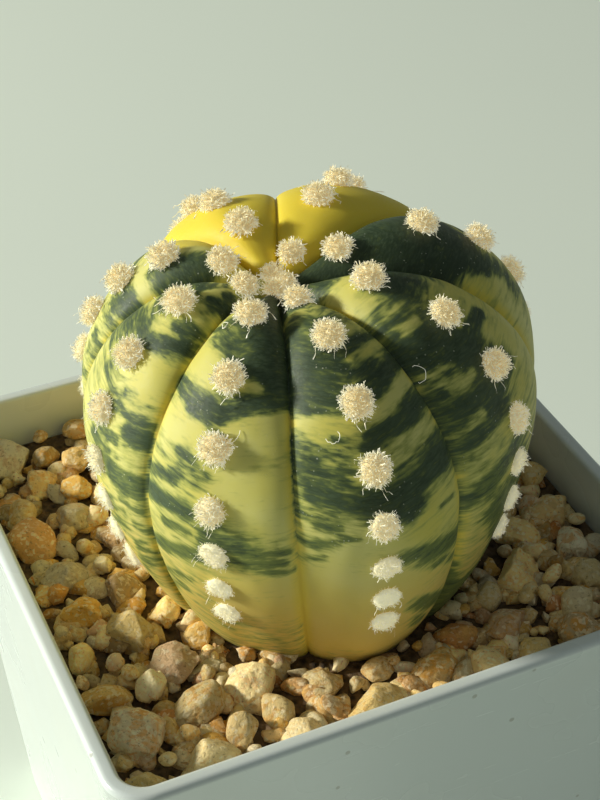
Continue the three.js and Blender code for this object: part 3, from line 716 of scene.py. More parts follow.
def rib_net():
    """The net of places on the ribs that the flesh is shaped from, from the crown to the root."""
    rows = crest_rows(FLESH_ROWS)
    count = len(rows["rho"])
    across = np.linspace(-1, 1, RIB_STEPS, endpoint=False)
    around = len(RIBS) * RIB_STEPS
    placed_ribs = [rib_place(k, across) for k in range(len(RIBS))]
    angle, bulge, cleft = (np.concatenate(values) for values in zip(*placed_ribs))
    crossing = np.tile(np.abs(across), len(RIBS))
    greens = []
    along = rows["along"] / MM
    for k in range(len(RIBS)):
        end = RIBS[k + 1]["furrow"] if k + 1 < len(RIBS) else RIBS[0]["furrow"] + 360
        left = math.radians(RIBS[k]["crest"] - RIBS[k]["furrow"])
        right_side = math.radians(end - RIBS[k]["crest"])
        t = np.broadcast_to(across, (count, RIB_STEPS))
        half_width = np.where(t > 0, right_side, left) * rows["rho"][:, None] / MM
        depth = np.broadcast_to(along[:, None], t.shape)
        greens.append(green_over(k, t, depth, np.maximum(half_width, 0.5)))
    green = np.concatenate(greens, axis=1)

    def spread(values):
        return np.repeat(values, around)

    crest_place = np.stack([spread(rows["rho"]), spread(rows["z"]), spread(rows["fade"])], 1)
    furrow = spread(rows["furrow"]) * np.tile(cleft, count)
    crest_normal = np.stack([spread(rows["nr"]), spread(rows["nz"]), furrow], 1)
    rib_places = np.stack([np.tile(angle, count), np.tile(crossing, count), np.tile(bulge, count)], 1)
    top, bottom = count * around, count * around + 1
    faces = []
    for row in range(count - 1):
        for i in range(around):
            following = (i + 1) % around
            low = row * around
            faces.append((low + i, low + around + i, low + around + following, low + following))
    for i in range(around):
        following = (i + 1) % around
        faces.append((top, i, following))
        faces.append((bottom, (count - 1) * around + following, (count - 1) * around + i))
    poles_place = [(0, crest("crown", 1e-6)[1], 1), (0, ROOT_END, 0)]
    poles_normal = [(0, 1, 0), (0, -1, 0)]
    mesh = bpy.data.meshes.new("rib_net")
    mesh.from_pydata([(0, 0, 0)] * (count * around + 2), [], faces)
    with_attribute(mesh, "crest_place", "FLOAT_VECTOR", np.vstack([crest_place, poles_place]))
    with_attribute(mesh, "crest_normal", "FLOAT_VECTOR", np.vstack([crest_normal, poles_normal]))
    with_attribute(mesh, "rib_place", "FLOAT_VECTOR", np.vstack([rib_places, [(0, 0, 0)] * 2]))
    with_attribute(mesh, "green", "FLOAT", np.concatenate([green.ravel(), [0.3, 0.3]]))
    uv = mesh.uv_layers.new(name="ribs")
    places = []
    for face in faces:
        columns = [corner % around for corner in face if corner < top]
        first = min(columns) if max(columns) - min(columns) < around / 2 else around - 1
        rib = first // RIB_STEPS
        for corner in face:
            if corner < top:
                step = (corner % around) - rib * RIB_STEPS
                step = step if step >= 0 else step + around
                share = 0.001 + 0.998 * step / RIB_STEPS
                places.append((rib + share, along[corner // around] / SKIN_LENGTH))
            else:
                places.append((rib + 0.5, 0 if corner == top else along[-1] / SKIN_LENGTH))
    uv.data.foreach_set("uv", np.array(places, np.float32).ravel())
    return mesh


def flesh_shape():
    """Sets each place of the net on the plant: crest line, bulge, furrow, lean and crown's drift."""
    inputs = {
        "Furrow Sharpness": "Float",
        "Crease Depth": "Float",
        "Crease Sharpness": "Float",
        "Lean X": "Float",
        "Lean Y": "Float",
        "Drift": "Vector",
        "Drift Reach": "Float",
        "Height": "Float",
        "Unevenness": "Float",
        "Material": "Material",
    }
    tree, plan, given = shape_plan("ribbed_flesh", inputs)
    vector = {"data_type": "FLOAT_VECTOR"}
    rho, z, fade = plan.split(plan.noted("crest_place", "FLOAT_VECTOR"))
    nr, nz, furrow = plan.split(plan.noted("crest_normal", "FLOAT_VECTOR"))
    angle, across, bulge = plan.split(plan.noted("rib_place", "FLOAT_VECTOR"))
    crease = given["Crease Depth"] * across ** given["Crease Sharpness"] * fade
    inward = furrow * across ** given["Furrow Sharpness"] + crease
    r = rho * (bulge * fade + 1) - nr * inward
    height = z - nz * inward
    upright = plan.joined(r * plan.maths("COSINE", angle), r * plan.maths("SINE", angle), height)
    leaned = plan.node(
        "ShaderNodeVectorRotate", {"rotation_type": "Y_AXIS"}, {"Vector": upright, "Angle": given["Lean Y"]}
    )
    leaned = plan.node(
        "ShaderNodeVectorRotate", {"rotation_type": "X_AXIS"}, {"Vector": leaned, "Angle": given["Lean X"]}
    )
    share = plan.maths("EXPONENT", -((r / given["Drift Reach"]) ** 2.0))
    share = share * plan.maths("GREATER_THAN", height, 0.0)
    drift = plan.scaled(given["Drift"], share)
    spot = plan.vectors("ADD", plan.vectors("ADD", leaned, drift), plan.joined(0.0, 0.0, given["Height"]))
    shaped = plan.put(given["Geometry"], spot)
    place = plan.node("GeometryNodeInputPosition")
    waves = plan.noise(place, 95.0, 2.0) - 0.5
    normal = plan.node("GeometryNodeInputNormal", output="Normal")
    push = plan.scaled(normal, waves * given["Unevenness"])
    uneven = plan.moved(shaped, push)
    close_shape(plan, uneven, given)
    return tree


def waxy_skin():
    material, plan, surface = material_plan("waxy_skin")
    place = plan.node("ShaderNodeTexCoord", output="Object")
    ribs = plan.node("ShaderNodeUVMap", {"uv_map": "ribs"})
    u, v, _ = plan.split(ribs)
    down = v * SKIN_LENGTH
    green = plan.attribute("green")
    across = plan.maths("ABSOLUTE", plan.maths("FRACT", u) * 2 - 1)
    skin = plan.joined(u * 20, down + across * 1.8, 0.0)
    bristles = plan.node("ShaderNodeMapping", None, {"Vector": skin, "Scale": (0.26, 1.1, 1)})
    brushed = plan.noise(bristles, 1.0, 2.5, 0.45, 0.3)
    hatching = plan.node("ShaderNodeMapping", None, {"Vector": skin, "Scale": (0.7, 2.8, 1)})
    fine = plan.noise(hatching, 1.0, 3.0, 0.5, 0.3)
    grain = plan.noise(place, 2600, 3.0, 0.6)
    low = plan.step(down, 8, 26)
    blots = plan.noise(place, 420, 3.0, 0.5)
    ragged = 1.35 - plan.maths("ABSOLUTE", green * 2 - 1) * 0.7
    streaks = ((brushed - 0.5) * 1.1 + (blots - 0.5) * 0.45) * ragged
    amount = green + streaks + (fine - 0.5) * (low * 0.6 + 0.1)
    tint = plan.step(amount, 0.05, 0.5, 0.0, 0.85)
    cover = plan.step(amount, 0.34, 0.7)
    deep = plan.step(amount + (fine - 0.5) * 0.5 - plan.step(down, 28, 44, 0.0, 0.22), 0.5, 0.95)
    clouds = plan.noise(place, 70, 3.0)
    yellow = plan.blend(plan.step(clouds, 0.35, 0.7), YELLOW, PALE_YELLOW)
    yellow = plan.blend(plan.step(down, 36, 52, 0.0, 0.8), yellow, AMBER)
    yellow = plan.blend(plan.step(green, -0.1, -0.4), yellow, GOLDEN)
    # Towards each furrow the yellow turns golden: painted shade in the creases.
    yellow = plan.blend(plan.step(across, 0.84, 1.0, 0.0, 0.7), yellow, GOLDEN)
    leaf = plan.blend(plan.step(clouds * 0.5 + fine * 0.6, 0.42, 0.72), GREEN, DUSTY_GREEN)
    leaf = plan.blend(deep, OLIVE, leaf)
    tone = plan.blend(cover, plan.blend(tint, yellow, TINTED), leaf)
    flecks = plan.node("ShaderNodeTexVoronoi", None, {"Vector": place, "Scale": 1500.0}, "Distance")
    fleck = plan.step(flecks, 0.16, 0.1) * plan.step(plan.noise(place, 300, 2.0), 0.5, 0.62)
    tone = plan.blend(fleck * (cover * 0.35 + 0.1), tone, FLECK)
    height = grain * 0.25 + clouds * 0.6 + cover * 0.25 + fleck * 0.4
    bump = plan.bump(height, 0.35, 0.12 * MM)
    feed(plan, surface, Base_Color=tone, Roughness=plan.step(grain, 0.3, 0.7, 0.5, 0.62), Normal=bump)
    feed(plan, surface, Specular_IOR_Level=0.3, Subsurface_Weight=0.45, Subsurface_Scale=1.8 * MM)
    feed(plan, surface, Subsurface_Radius=(1, 0.9, 0.35))
    return material


values = {
    "Furrow Sharpness": FURROW_SHARPNESS,
    "Crease Depth": CREASE_DEPTH,
    "Crease Sharpness": CREASE_SHARPNESS,
    "Lean X": LEAN_X,
    "Lean Y": LEAN_Y,
    "Drift": DRIFT,
    "Drift Reach": DRIFT_REACH,
    "Height": POT_HEIGHT + WIDEST,
    "Unevenness": FLESH_UNEVENNESS,
    "Material": waxy_skin(),
}
flesh = grown("cactus_flesh", rib_net(), flesh_shape(), values)
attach(flesh, "root")
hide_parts("cactus")

# The wool
# Each areole along the crests carries a round pad of dense cream wool instead of spines: fine
# curled hairs that stand out all round. They grow from the skin and age from tan to white. The
# wool glows faintly in its own colour, painted light that keeps it bright in the shade.
AREOLE_STEP = 9.0
AREOLE_CROWDING = 0.09
LAST_AREOLE = 54.5
WOOL_RADIUS = 1.7 * MM
CROWN_WOOL_RADIUS = 1.15 * MM
WOOL_GROWTH = 10.0
PAD_RINGS = [(0.7, -0.45), (0.84, 0.0), (0.9, 0.3), (0.82, 0.6), (0.56, 0.83), (0.24, 0.92)]
PAD_SIDES = 16
FLATTENS_FROM = 24
FLATTENS_TO = 46
OLD_FLATNESS = 0.42
HAIRS_PER_SQUARE_METRE = 36e6
HAIR_LENGTH = 0.58 * MM
OLD_LENGTH = 0.55
HAIR_THICKNESS = 0.052
HAIR_STEPS = 3
CURL = 1.5 * MM
CURL_FINENESS = 1900.0
HAIR_SUNK = 0.15
HAIR_TAPER = 0.7
SHORTEST_HAIR = 0.55
LONGEST_HAIR = 1.2
LUMP_FINENESS = 620.0
WOOL_LUMPS = 0.9 * MM
LOOSE_HAIRS_PER_SQUARE_METRE = 0.7e6
LOOSE_LENGTH = 1.5 * MM
LOOSE_STEPS = 7
LOOSE_SEED = 40
DROOP = 0.5
# The darkest wool tone is painted shade, deep among the hair roots and on the pads of young tufts.
WOOL_PAINTED_SHADE = (0.76, 0.62, 0.34, 1)
WOOL_TAN = (0.92, 0.81, 0.47, 1)
WOOL_CREAM = (0.97, 0.92, 0.66, 1)
WOOL_WHITE = (1.0, 0.98, 0.83, 1)
# The wool's faint glow in its own colour is painted light, keeping the tufts bright in the shade.
WOOL_PAINTED_GLOW = 0.22
WOOL_SEED = 7
# Hairs shed on the skin: rib, share across it, mm from the crown, heading in degrees from
# straight across, length in mm and how tightly they curl.
SHED_HAIRS = [
    (7, -0.5, 13.2, 100, 3.2, 2.6), (6, 0.5, 6.8, 190, 5.0, 2.0), (1, -0.93, 20.6, 20, 3.8, 0.9),
    (0, -0.8, 6.0, -35, 4.5, 0.5), (0, -0.35, 24.0, 60, 2.6, 1.2), (7, 0.3, 24.5, 80, 2.4, 0.7),
    (5, 0.2, 16.0, 10, 4.0, 1.4), (3, -0.4, 22.0, 150, 3.6, 1.0), (2, 0.5, 18.0, 70, 3.0, 1.8),
    (4, -0.3, 27.0, 30, 4.2, 0.8),
]
SHED_THICKNESS = 0.035 * MM
SHED_LIFT = 0.3 * MM
SHED_STEPS = 18
SHED_SIDES = 4


def tube_faces(first, rows, sides):
    """The faces of a closed tube through rows of corners, numbered from first."""
    faces = []
    for low in range(first, first + (rows - 1) * sides, sides):
        for i in range(sides):
            following = (i + 1) % sides
            faces.append((low + i, low + following, low + sides + following, low + sides + i))
    last = first + (rows - 1) * sides
    return faces + [tuple(reversed(range(first, first + sides))), tuple(range(last, last + sides))]


def pads(k, rows):
    """The felted cores of the wool on one rib, with how far each is from the crown."""
    corners, faces, ages, shown, hearts = [], [], [], [], []
    along = RIBS[k]["first"]
    while along < LAST_AREOLE:
        row = row_at(rows, np.argmax(rows["along"] >= along * MM))
        centre = flesh_point(row, k, 0.0)
        outward = flesh_point(row, k, 0.0, MM) - centre
        turn = Vector(outward).to_track_quat("Z", "Y").to_matrix()
        radius = mix(CROWN_WOOL_RADIUS, WOOL_RADIUS, smooth(along / WOOL_GROWTH))
        flat = mix(1, OLD_FLATNESS, smooth((along - FLATTENS_FROM) / (FLATTENS_TO - FLATTENS_FROM)))
        first = len(corners)
        for reach, height in PAD_RINGS:
            for i in range(PAD_SIDES):
                angle = 2 * math.pi * i / PAD_SIDES
                spot = Vector((reach * math.cos(angle), reach * math.sin(angle), height * flat))
                spot = turn @ spot * radius
                corners.append(tuple(Vector(centre) + spot))
                shown.append(1.0 if height >= 0 else 0.0)
                hearts.append(height)
        faces += tube_faces(first, len(PAD_RINGS), PAD_SIDES)
        ages += [along / LAST_AREOLE] * (PAD_SIDES * len(PAD_RINGS))
        along += RIBS[k]["stretch"] * (AREOLE_STEP - AREOLE_CROWDING * along)
    mesh = bpy.data.meshes.new("pads")
    mesh.from_pydata(corners, [], faces)
    with_attribute(mesh, "age", "FLOAT", ages)
    with_attribute(mesh, "shown", "FLOAT", shown)
    with_attribute(mesh, "heart", "FLOAT", hearts)
    return mesh


def wool_shape():
    """Grows curled hairs from the pads and keeps the pads under them."""
    inputs = {
        "Density": "Float",
        "Length": "Float",
        "Old Length": "Float",
        "Thickness": "Float",
        "Curl": "Float",
        "Lumps": "Float",
        "Loose Density": "Float",
        "Loose Length": "Float",
        "Droop": "Float",
        "Seed": "Int",
        "Material": "Material",
    }
    tree, plan, given = shape_plan("wool", inputs)
    swell = plan.noise(plan.node("GeometryNodeInputPosition"), LUMP_FINENESS, 2.0) - 0.5
    normal = plan.node("GeometryNodeInputNormal", output="Normal")
    push = plan.scaled(normal, swell * given["Lumps"])
    pads = plan.moved(given["Geometry"], push)
    dense = {"steps": HAIR_STEPS, "density": given["Density"], "seed": given["Seed"]}
    tuft = hairs(plan, pads, given, dense, given["Length"], given["Thickness"], 0.0)
    sparse = {"steps": LOOSE_STEPS, "density": given["Loose Density"], "seed": given["Seed"] + LOOSE_SEED}
    thin = given["Thickness"] * given["Length"] / given["Loose Length"]
    loose = hairs(plan, pads, given, sparse, given["Loose Length"], thin, given["Droop"])
    both = plan.tree.nodes.new("GeometryNodeJoinGeometry")
    for part in (tuft, loose, pads):
        plan.tree.links.new(part.socket, both.inputs[0])
    close_shape(plan, Signal(plan, both.outputs[0]), given)
    return tree


def hairs(plan, pads, given, growth, length, thickness, droop):
    """Curled hairs that stand on the pads and sink by droop at their tips."""
    shown = plan.noted("shown")
    scatter = plan.tree.nodes.new("GeometryNodeDistributePointsOnFaces")
    for key, signal in {"Mesh": pads, "Density": growth["density"], "Seed": growth["seed"]}.items():
        plan.tree.links.new(signal.socket, scatter.inputs[key])
    plan.tree.links.new(plan.maths("GREATER_THAN", shown, 0.5).socket, scatter.inputs["Selection"])
    points, normal = Signal(plan, scatter.outputs["Points"]), Signal(plan, scatter.outputs["Normal"])
    strand = plan.node(
        "GeometryNodeCurvePrimitiveLine", None, {"Start": (0, 0, -HAIR_SUNK), "End": (0, 0, 1)}, "Curve"
    )
    strand = plan.node("GeometryNodeResampleCurve", None, {"Curve": strand, "Count": growth["steps"]})
    way = plan.node("GeometryNodeSplineParameter", output="Factor")
    marked = plan.noting(strand, "way", way)
    tapered = plan.node(
        "GeometryNodeSetCurveRadius", None, {"Curve": marked, "Radius": 1.0 - way * HAIR_TAPER}
    )
    section = plan.node(
        "GeometryNodeCurvePrimitiveCircle", None, {"Resolution": 3, "Radius": thickness}, "Curve"
    )
    hair = plan.node("GeometryNodeCurveToMesh", None, {"Curve": tapered, "Profile Curve": section}, "Mesh")
    vector = {"data_type": "FLOAT_VECTOR"}
    stray = plan.drawn((-1, -1, -1), (1, 1, 1), 3)
    aim = plan.vectors("ADD", normal, stray)
    rotation = plan.node("FunctionNodeAlignRotationToVector", {"axis": "Z"}, {"Vector": aim}, "Rotation")
    tall = plan.drawn(SHORTEST_HAIR, LONGEST_HAIR, 4)
    age = plan.noted("age")
    scale = tall * length * plan.step(age, 0.45, 0.85, 1.0, given["Old Length"])
    grown_hairs = plan.repeated(points, hair, rotation, plan.joined(scale, scale, scale))
    whole = plan.node("GeometryNodeRealizeInstances", None, {"Geometry": grown_hairs})
    place = plan.node("GeometryNodeInputPosition")
    far = plan.noted("way")
    waver = plan.noise(place, CURL_FINENESS, 1.0, output="Color")
    waver = plan.vectors("SUBTRACT", waver, (0.5, 0.5, 0.5))
    bend = plan.scaled(waver, far * given["Curl"])
    sink = plan.joined(0.0, 0.0, far * far * length * -droop)
    return plan.moved(whole, plan.vectors("ADD", bend, sink))


def cream_wool():
    material, plan, surface = material_plan("cream_wool")
    place = plan.node("ShaderNodeTexCoord", output="Object")
    age = plan.attribute("age")
    way = plan.attribute("way")
    locks = plan.noise(place, 900, 3.0)
    heart = plan.attribute("heart")
    tan = plan.step(heart, 0.35, 0.9) * plan.step(age, 0.75, 0.3) + plan.step(locks, 0.32, 0.55, 0.3, 0.0)
    tip = plan.blend(tan * 0.5, WOOL_WHITE, WOOL_TAN)
    middle = plan.blend(tan, WOOL_CREAM, WOOL_TAN)
    # Near the roots, and on the pads, young wool darkens to painted shade, standing for the shade deep in
    # the tuft.
    root = plan.blend(plan.step(age, 0.5, 0.85), WOOL_PAINTED_SHADE, middle)
    tone = plan.blend(plan.step(way, 0.5, 1.0), plan.blend(plan.step(way, 0.05, 0.55), root, middle), tip)
    # A faint glow in the wool's own colour: painted light, so the tufts stay bright in the shade.
    feed(plan, surface, Emission_Color=tone, Emission_Strength=WOOL_PAINTED_GLOW)
    feed(plan, surface, Base_Color=tone, Roughness=plan.step(locks, 0.3, 0.7, 0.75, 0.95))
    return material


wool_tree = wool_shape()
wool_material = cream_wool()
crest_line = crest_rows([("crown", 200), ("flank", 200)])
for k, rib in enumerate(RIBS):
    values = {
        "Density": float(HAIRS_PER_SQUARE_METRE),
        "Length": HAIR_LENGTH,
        "Old Length": OLD_LENGTH,
        "Thickness": HAIR_THICKNESS,
        "Curl": CURL,
        "Lumps": WOOL_LUMPS,
        "Loose Density": LOOSE_HAIRS_PER_SQUARE_METRE,
        "Loose Length": LOOSE_LENGTH,
        "Droop": DROOP,
        "Seed": WOOL_SEED + k,
        "Material": wool_material,
    }
    wool = grown("wool_" + rib["name"], pads(k, crest_line), wool_tree, values)
    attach(wool, "root")
    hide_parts("cactus")


def shed_hair(rows, k, share, along, heading, length, curl):
    """The rings of one thin tube that wanders over the skin."""
    angle, step = math.radians(heading), length / SHED_STEPS
    rings, spots = [], []
    for i in range(SHED_STEPS + 1):
        row = row_at(rows, np.argmax(rows["along"] >= along * MM))
        lift = SHED_LIFT * (0.4 + math.sin(math.pi * i / SHED_STEPS))
        spots.append(Vector(flesh_point(row, k, share, lift)))
        here, beside = (Vector(flesh_point(row, k, s)) for s in (share, share + 0.01))
        width = (beside - here).length / 0.01 / MM
        share = min(max(share + math.cos(angle) * step / width, -0.98), 0.98)
        along += math.sin(angle) * step
        angle += curl * step * (1 + math.sin(1.3 * i))
    for i, spot in enumerate(spots):
        way = (spots[min(i + 1, SHED_STEPS)] - spots[max(i - 1, 0)]).to_track_quat("Z", "Y")
        for side in range(SHED_SIDES):
            turn = 2 * math.pi * side / SHED_SIDES
            rings.append(spot + way @ Vector((math.cos(turn), math.sin(turn), 0)) * SHED_THICKNESS)
    return rings


corners, faces = [], []
for shed in SHED_HAIRS:
    first = len(corners)
    corners.extend(tuple(corner) for corner in shed_hair(crest_line, *shed))
    faces += tube_faces(first, SHED_STEPS + 1, SHED_SIDES)
shed_mesh = bpy.data.meshes.new("shed_hairs")
shed_mesh.from_pydata(corners, [], faces)
with_attribute(shed_mesh, "way", "FLOAT", [1.0] * len(corners))
shed_hairs = placed("wool_shed", shed_mesh, wool_material)
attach(shed_hairs, "root")
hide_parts("cactus")

# The stones
# A top dressing of loose, dry, broken stones in cream, tan, orange and grey, 3 to 10 mm long,
# poured round the plant and settled on finer grit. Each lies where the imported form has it.
BED_BOTTOM = 11.3 * MM
BED_TOP = 6.9 * MM
STONES_AT_PLANT = 5.6 * MM
STONES_AT_WALL = 4.4 * MM
LEVEL_REACH = 12 * MM
STONE_SEED = 41
STONE_GRADES = [
    {"name": "coarse", "count": 46, "small": 3.7, "large": 5.1, "depth": 2.1, "level": 4, "finest": 26},
    {"name": "middling", "count": 80, "small": 2.5, "large": 3.4, "depth": 1.4, "level": 3, "finest": 80},
    {"name": "fine", "count": 60, "small": 1.5, "large": 2.1, "depth": 1.1, "level": 2, "finest": 60},
]
STONE_FACES = 8
EDGE_WEAR = 2
STONE_ROUGHNESS = 0.16 * MM
STONE_CLEARANCE = 0.1 * MM
LUMP_SHARE = (2.8, 2.8, 2.8)
SHALLOW_CUT = 0.8
DEEP_CUT = 0.38
STONE_CROWDING = 0.73
STONE_TRIES = 60
WALL_NESTLE = 0.3
PLANT_NESTLE = 0.62
STONE_HEAVE = 0.4 * MM
CORNER_STRAY = (0.84, 1.18)
STONE_WIDTH = (0.62, 0.95)
STONE_THICKNESS = (0.5, 0.72)
STONE_TIP = 0.5
GAP = 0.3 * MM
GRIT_SEED = 5
GRIT_DENSITY = 230000
GRIT_SMALL = 0.7 * MM
GRIT_LARGE = 2.3 * MM
GRIT_FLATTEST = (0.9, 0.55, 0.45)
GRIT_FULLEST = (1.4, 0.95, 0.8)
GRIT_HOP = 0.6 * MM
GRIT_KNOBS = (0.0011, 0.0011, 0.0009)
GRIT_STEP = 1.5 * MM
GRIT_SUNK = 0.2 * MM
GRIT_UNDER_PLANT = 1 * MM
STONE_COLOURS = [
    (0.00, (0.80, 0.60, 0.28, 1)),
    (0.12, (0.92, 0.79, 0.49, 1)),
    (0.26, (0.78, 0.47, 0.14, 1)),
    (0.37, (0.64, 0.54, 0.34, 1)),
    (0.48, (0.84, 0.67, 0.35, 1)),
    (0.60, (0.55, 0.24, 0.09, 1)),
    (0.67, (0.86, 0.77, 0.55, 1)),
    (0.80, (0.42, 0.28, 0.14, 1)),
    (0.88, (0.90, 0.68, 0.32, 1)),
]
STONE_RUST = (0.68, 0.32, 0.07, 1)
STONE_PALE = (0.94, 0.85, 0.62, 1)
STONE_DIRT = (0.20, 0.125, 0.06, 1)
# The bed's dark tones are partly the dust's own colour and partly painted shade, for the shadowed gaps
# between the stones.
BED_DARK = (0.035, 0.022, 0.012, 1)
BED_BROWN = (0.24, 0.15, 0.07, 1)
BED_LOWERED = 0.6 * MM
CLEARANCE_STEPS = 4


def seeded(seed):
    """Repeatable random numbers from 0 to 1."""
    word = 0xFFFFFFFF
    state = seed
    while True:
        state = (state + 0x6D2B79F5) & word
        mixed = ((state ^ (state >> 15)) * (1 | state)) & word
        mixed = ((mixed + (((mixed ^ (mixed >> 7)) * (61 | mixed)) & word)) & word) ^ mixed
        yield (mixed ^ (mixed >> 14)) / 2**32


stone_level = (WIDEST + STONES_AT_PLANT) / -FLANK_END
rho, z = crest("flank", np.array([stone_level]))
before, after = crest("flank", stone_level - 1e-4), crest("flank", stone_level + 1e-4)
fade = smooth((z[0] - FLANK_END) / (FURROW_FADE_TOP - FLANK_END))
slope = np.array([after[0] - before[0], after[1] - before[1]])
slope /= np.hypot(*slope)
waist = {
    "rho": rho[0],
    "z": z[0],
    "nr": -slope[1],
    "nz": slope[0],
    "furrow": FURROW_DEPTH * (1 - math.exp(-rho[0] / FURROW_START)) * fade,
    "fade": fade,
}
footprint = [
    flesh_point(waist, k, 2 * i / CLEARANCE_STEPS - 1)
    for k in range(len(RIBS)) for i in range(CLEARANCE_STEPS)
]
middle = np.mean(footprint, axis=0)


def distance_from_plant(x, y):
    angle = math.atan2(y - middle[1], x - middle[0])

    def off(point):
        turn = math.atan2(point[1] - middle[1], point[0] - middle[0]) - angle
        return abs(math.atan2(math.sin(turn), math.cos(turn)))

    nearest = min(footprint, key=off)
    edge = math.hypot(nearest[0] - middle[0], nearest[1] - middle[1])
    return math.hypot(x - middle[0], y - middle[1]) - edge


def stone_places():
    """Darts thrown at the open surface, coarse grade first, kept where they don't crowd."""
    random = seeded(STONE_SEED)
    reach = inner_half(POT_HEIGHT - STONES_AT_WALL) - GAP
    laid = []
    for grade in STONE_GRADES:
        first = len(laid)
        wanted = first + grade["count"]
        for _ in range(grade["count"] * STONE_TRIES):
            if len(laid) == wanted:
                break
            half = mix(grade["small"], grade["large"], next(random)) * MM
            x = mix(-reach, reach, next(random))
            y = mix(-reach, reach, next(random))
            away = distance_from_plant(x, y)
            crowds = any(
                math.hypot(other["x"] - x, other["y"] - y) < (other["half"] + half) * STONE_CROWDING
                for other in laid
            )
            beyond = max(abs(x), abs(y)) > reach - (1 - WALL_NESTLE) * half
            if crowds or beyond or away < half * PLANT_NESTLE:
                continue
            under = mix(STONES_AT_PLANT, STONES_AT_WALL, smooth(away / LEVEL_REACH))
            z = POT_HEIGHT - under - grade["depth"] * MM + mix(-STONE_HEAVE, STONE_HEAVE, next(random))
            pile, level = grade["name"], grade["level"]
            if len(laid) - first >= grade["finest"]:
                pile, level = pile + "_more", level - 1
            laid.append({"x": x, "y": y, "z": z, "half": half, "pile": pile, "level": level})
    return laid


def icosahedron():
    """The corners and faces of a ball of twenty faces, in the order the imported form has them."""
    g = (1 + math.sqrt(5)) / 2
    table = [
        (-1, g, 0), (1, g, 0), (-1, -g, 0), (1, -g, 0), (0, -1, g), (0, 1, g),
        (0, -1, -g), (0, 1, -g), (g, 0, -1), (g, 0, 1), (-g, 0, -1), (-g, 0, 1),
    ]
    faces = [
        (0, 11, 5), (0, 5, 1), (0, 1, 7), (0, 7, 10), (0, 10, 11), (1, 5, 9), (5, 11, 4),
        (11, 10, 2), (10, 7, 6), (7, 1, 8), (3, 9, 4), (3, 4, 2), (3, 2, 6), (3, 6, 8),
        (3, 8, 9), (4, 9, 5), (2, 4, 11), (6, 2, 10), (8, 6, 7), (9, 8, 1),
    ]
    order = []
    for face in faces:
        order += [corner for corner in face if corner not in order]
    corners = np.array([table[corner] for corner in order], float)
    corners /= np.linalg.norm(corners[0])
    return corners, [tuple(order.index(corner) for corner in face) for face in faces]


def turned(points, axis, angle):
    return points @ np.array(Matrix.Rotation(angle, 3, axis)).T


def stone_corners(place, corners, random):
    """The twelve corners of one stone, pushed in and out at random and tipped where it lies."""
    pushed = corners * np.array([[mix(*CORNER_STRAY, next(random))] for _ in corners])
    width = mix(*STONE_WIDTH, next(random))
    pushed = pushed * place["half"] * np.array([1, width, mix(*STONE_THICKNESS, next(random))])
    pushed = turned(pushed, "X", mix(-STONE_TIP, STONE_TIP, next(random)))
    pushed = turned(pushed, "Y", mix(-STONE_TIP, STONE_TIP, next(random)))
    pushed = turned(pushed, "Z", 2 * math.pi * next(random))
    return pushed + np.array([place["x"], place["y"], place["z"]])


def broken(plan, geometry, shallow, deep):
    """Splits flat faces off each stone, along planes turned by the stone's own tones."""
    centre, tones = (plan.noted(name, "FLOAT_VECTOR") for name in ("centre", "tones"))
    half = plan.noted("half")
    spot = plan.vectors("SUBTRACT", plan.node("GeometryNodeInputPosition"), centre)
    for face in range(STONE_FACES):
        draw = plan.vectors("ADD", tones, (face * 1.7, face * 0.9, face * 2.3))
        draw = plan.node("ShaderNodeTexWhiteNoise", {"noise_dimensions": "3D"}, {"Vector": draw}, "Color")
        facing = plan.vectors("NORMALIZE", plan.vectors("SUBTRACT", draw, (0.5, 0.5, 0.35)))
        depth = plan.node(
            "ShaderNodeTexWhiteNoise", {"noise_dimensions": "3D"}, {"Vector": facing}, "Value"
        )
        beyond = plan.vectors("DOT_PRODUCT", spot, facing, output="Value")
        beyond = beyond - half * mix(shallow, deep, depth)
        beyond = plan.maths("MAXIMUM", beyond, 0.0)
        cut = plan.scaled(facing, beyond)
        spot = plan.vectors("SUBTRACT", spot, cut)
    spot = plan.vectors("ADD", spot, centre)
    return plan.put(geometry, spot)


def stone_shape():
    """Rounds the coarse stones' edges, roughens their faces and keeps them inside the pot."""
    inputs = {
        "Level": "Int",
        "Rounding": "Int",
        "Shallow Cut": "Float",
        "Deep Cut": "Float",
        "Roughness": "Float",
        "Inner Half": "Float",
        "Material": "Material",
    }
    tree, plan, given = shape_plan("stone_shape", inputs)
    fine = plan.node(
        "GeometryNodeSubdivideMesh", None, {"Mesh": given["Geometry"], "Level": given["Level"]}
    )
    place = plan.node("GeometryNodeInputPosition")
    eased = plan.blurred(place, given["Rounding"])
    rounded = plan.put(fine, eased)
    split = broken(plan, rounded, given["Shallow Cut"], given["Deep Cut"])
    worn = plan.blurred(place, EDGE_WEAR)
    rounded = plan.put(split, worn)
    lumps = plan.vectors("SUBTRACT", plan.noise(place, 330.0, 2.0, output="Color"), (0.5, 0.5, 0.5))
    chips = plan.vectors("SUBTRACT", plan.noise(place, 1100.0, 3.0, 0.65, output="Color"), (0.5, 0.5, 0.5))
    relief = plan.vectors("ADD", plan.vectors("MULTIPLY", lumps, LUMP_SHARE), chips)
    push = plan.scaled(relief, given["Roughness"])
    rough = plan.moved(rounded, push)
    x, y, z = plan.split(plan.node("GeometryNodeInputPosition"))
    held = [
        plan.maths("MINIMUM", plan.maths("MAXIMUM", v, -given["Inner Half"]), given["Inner Half"])
        for v in (x, y)
    ]
    kept = plan.put(rough, plan.joined(*held, z))
    close_shape(plan, kept, given)
    return tree


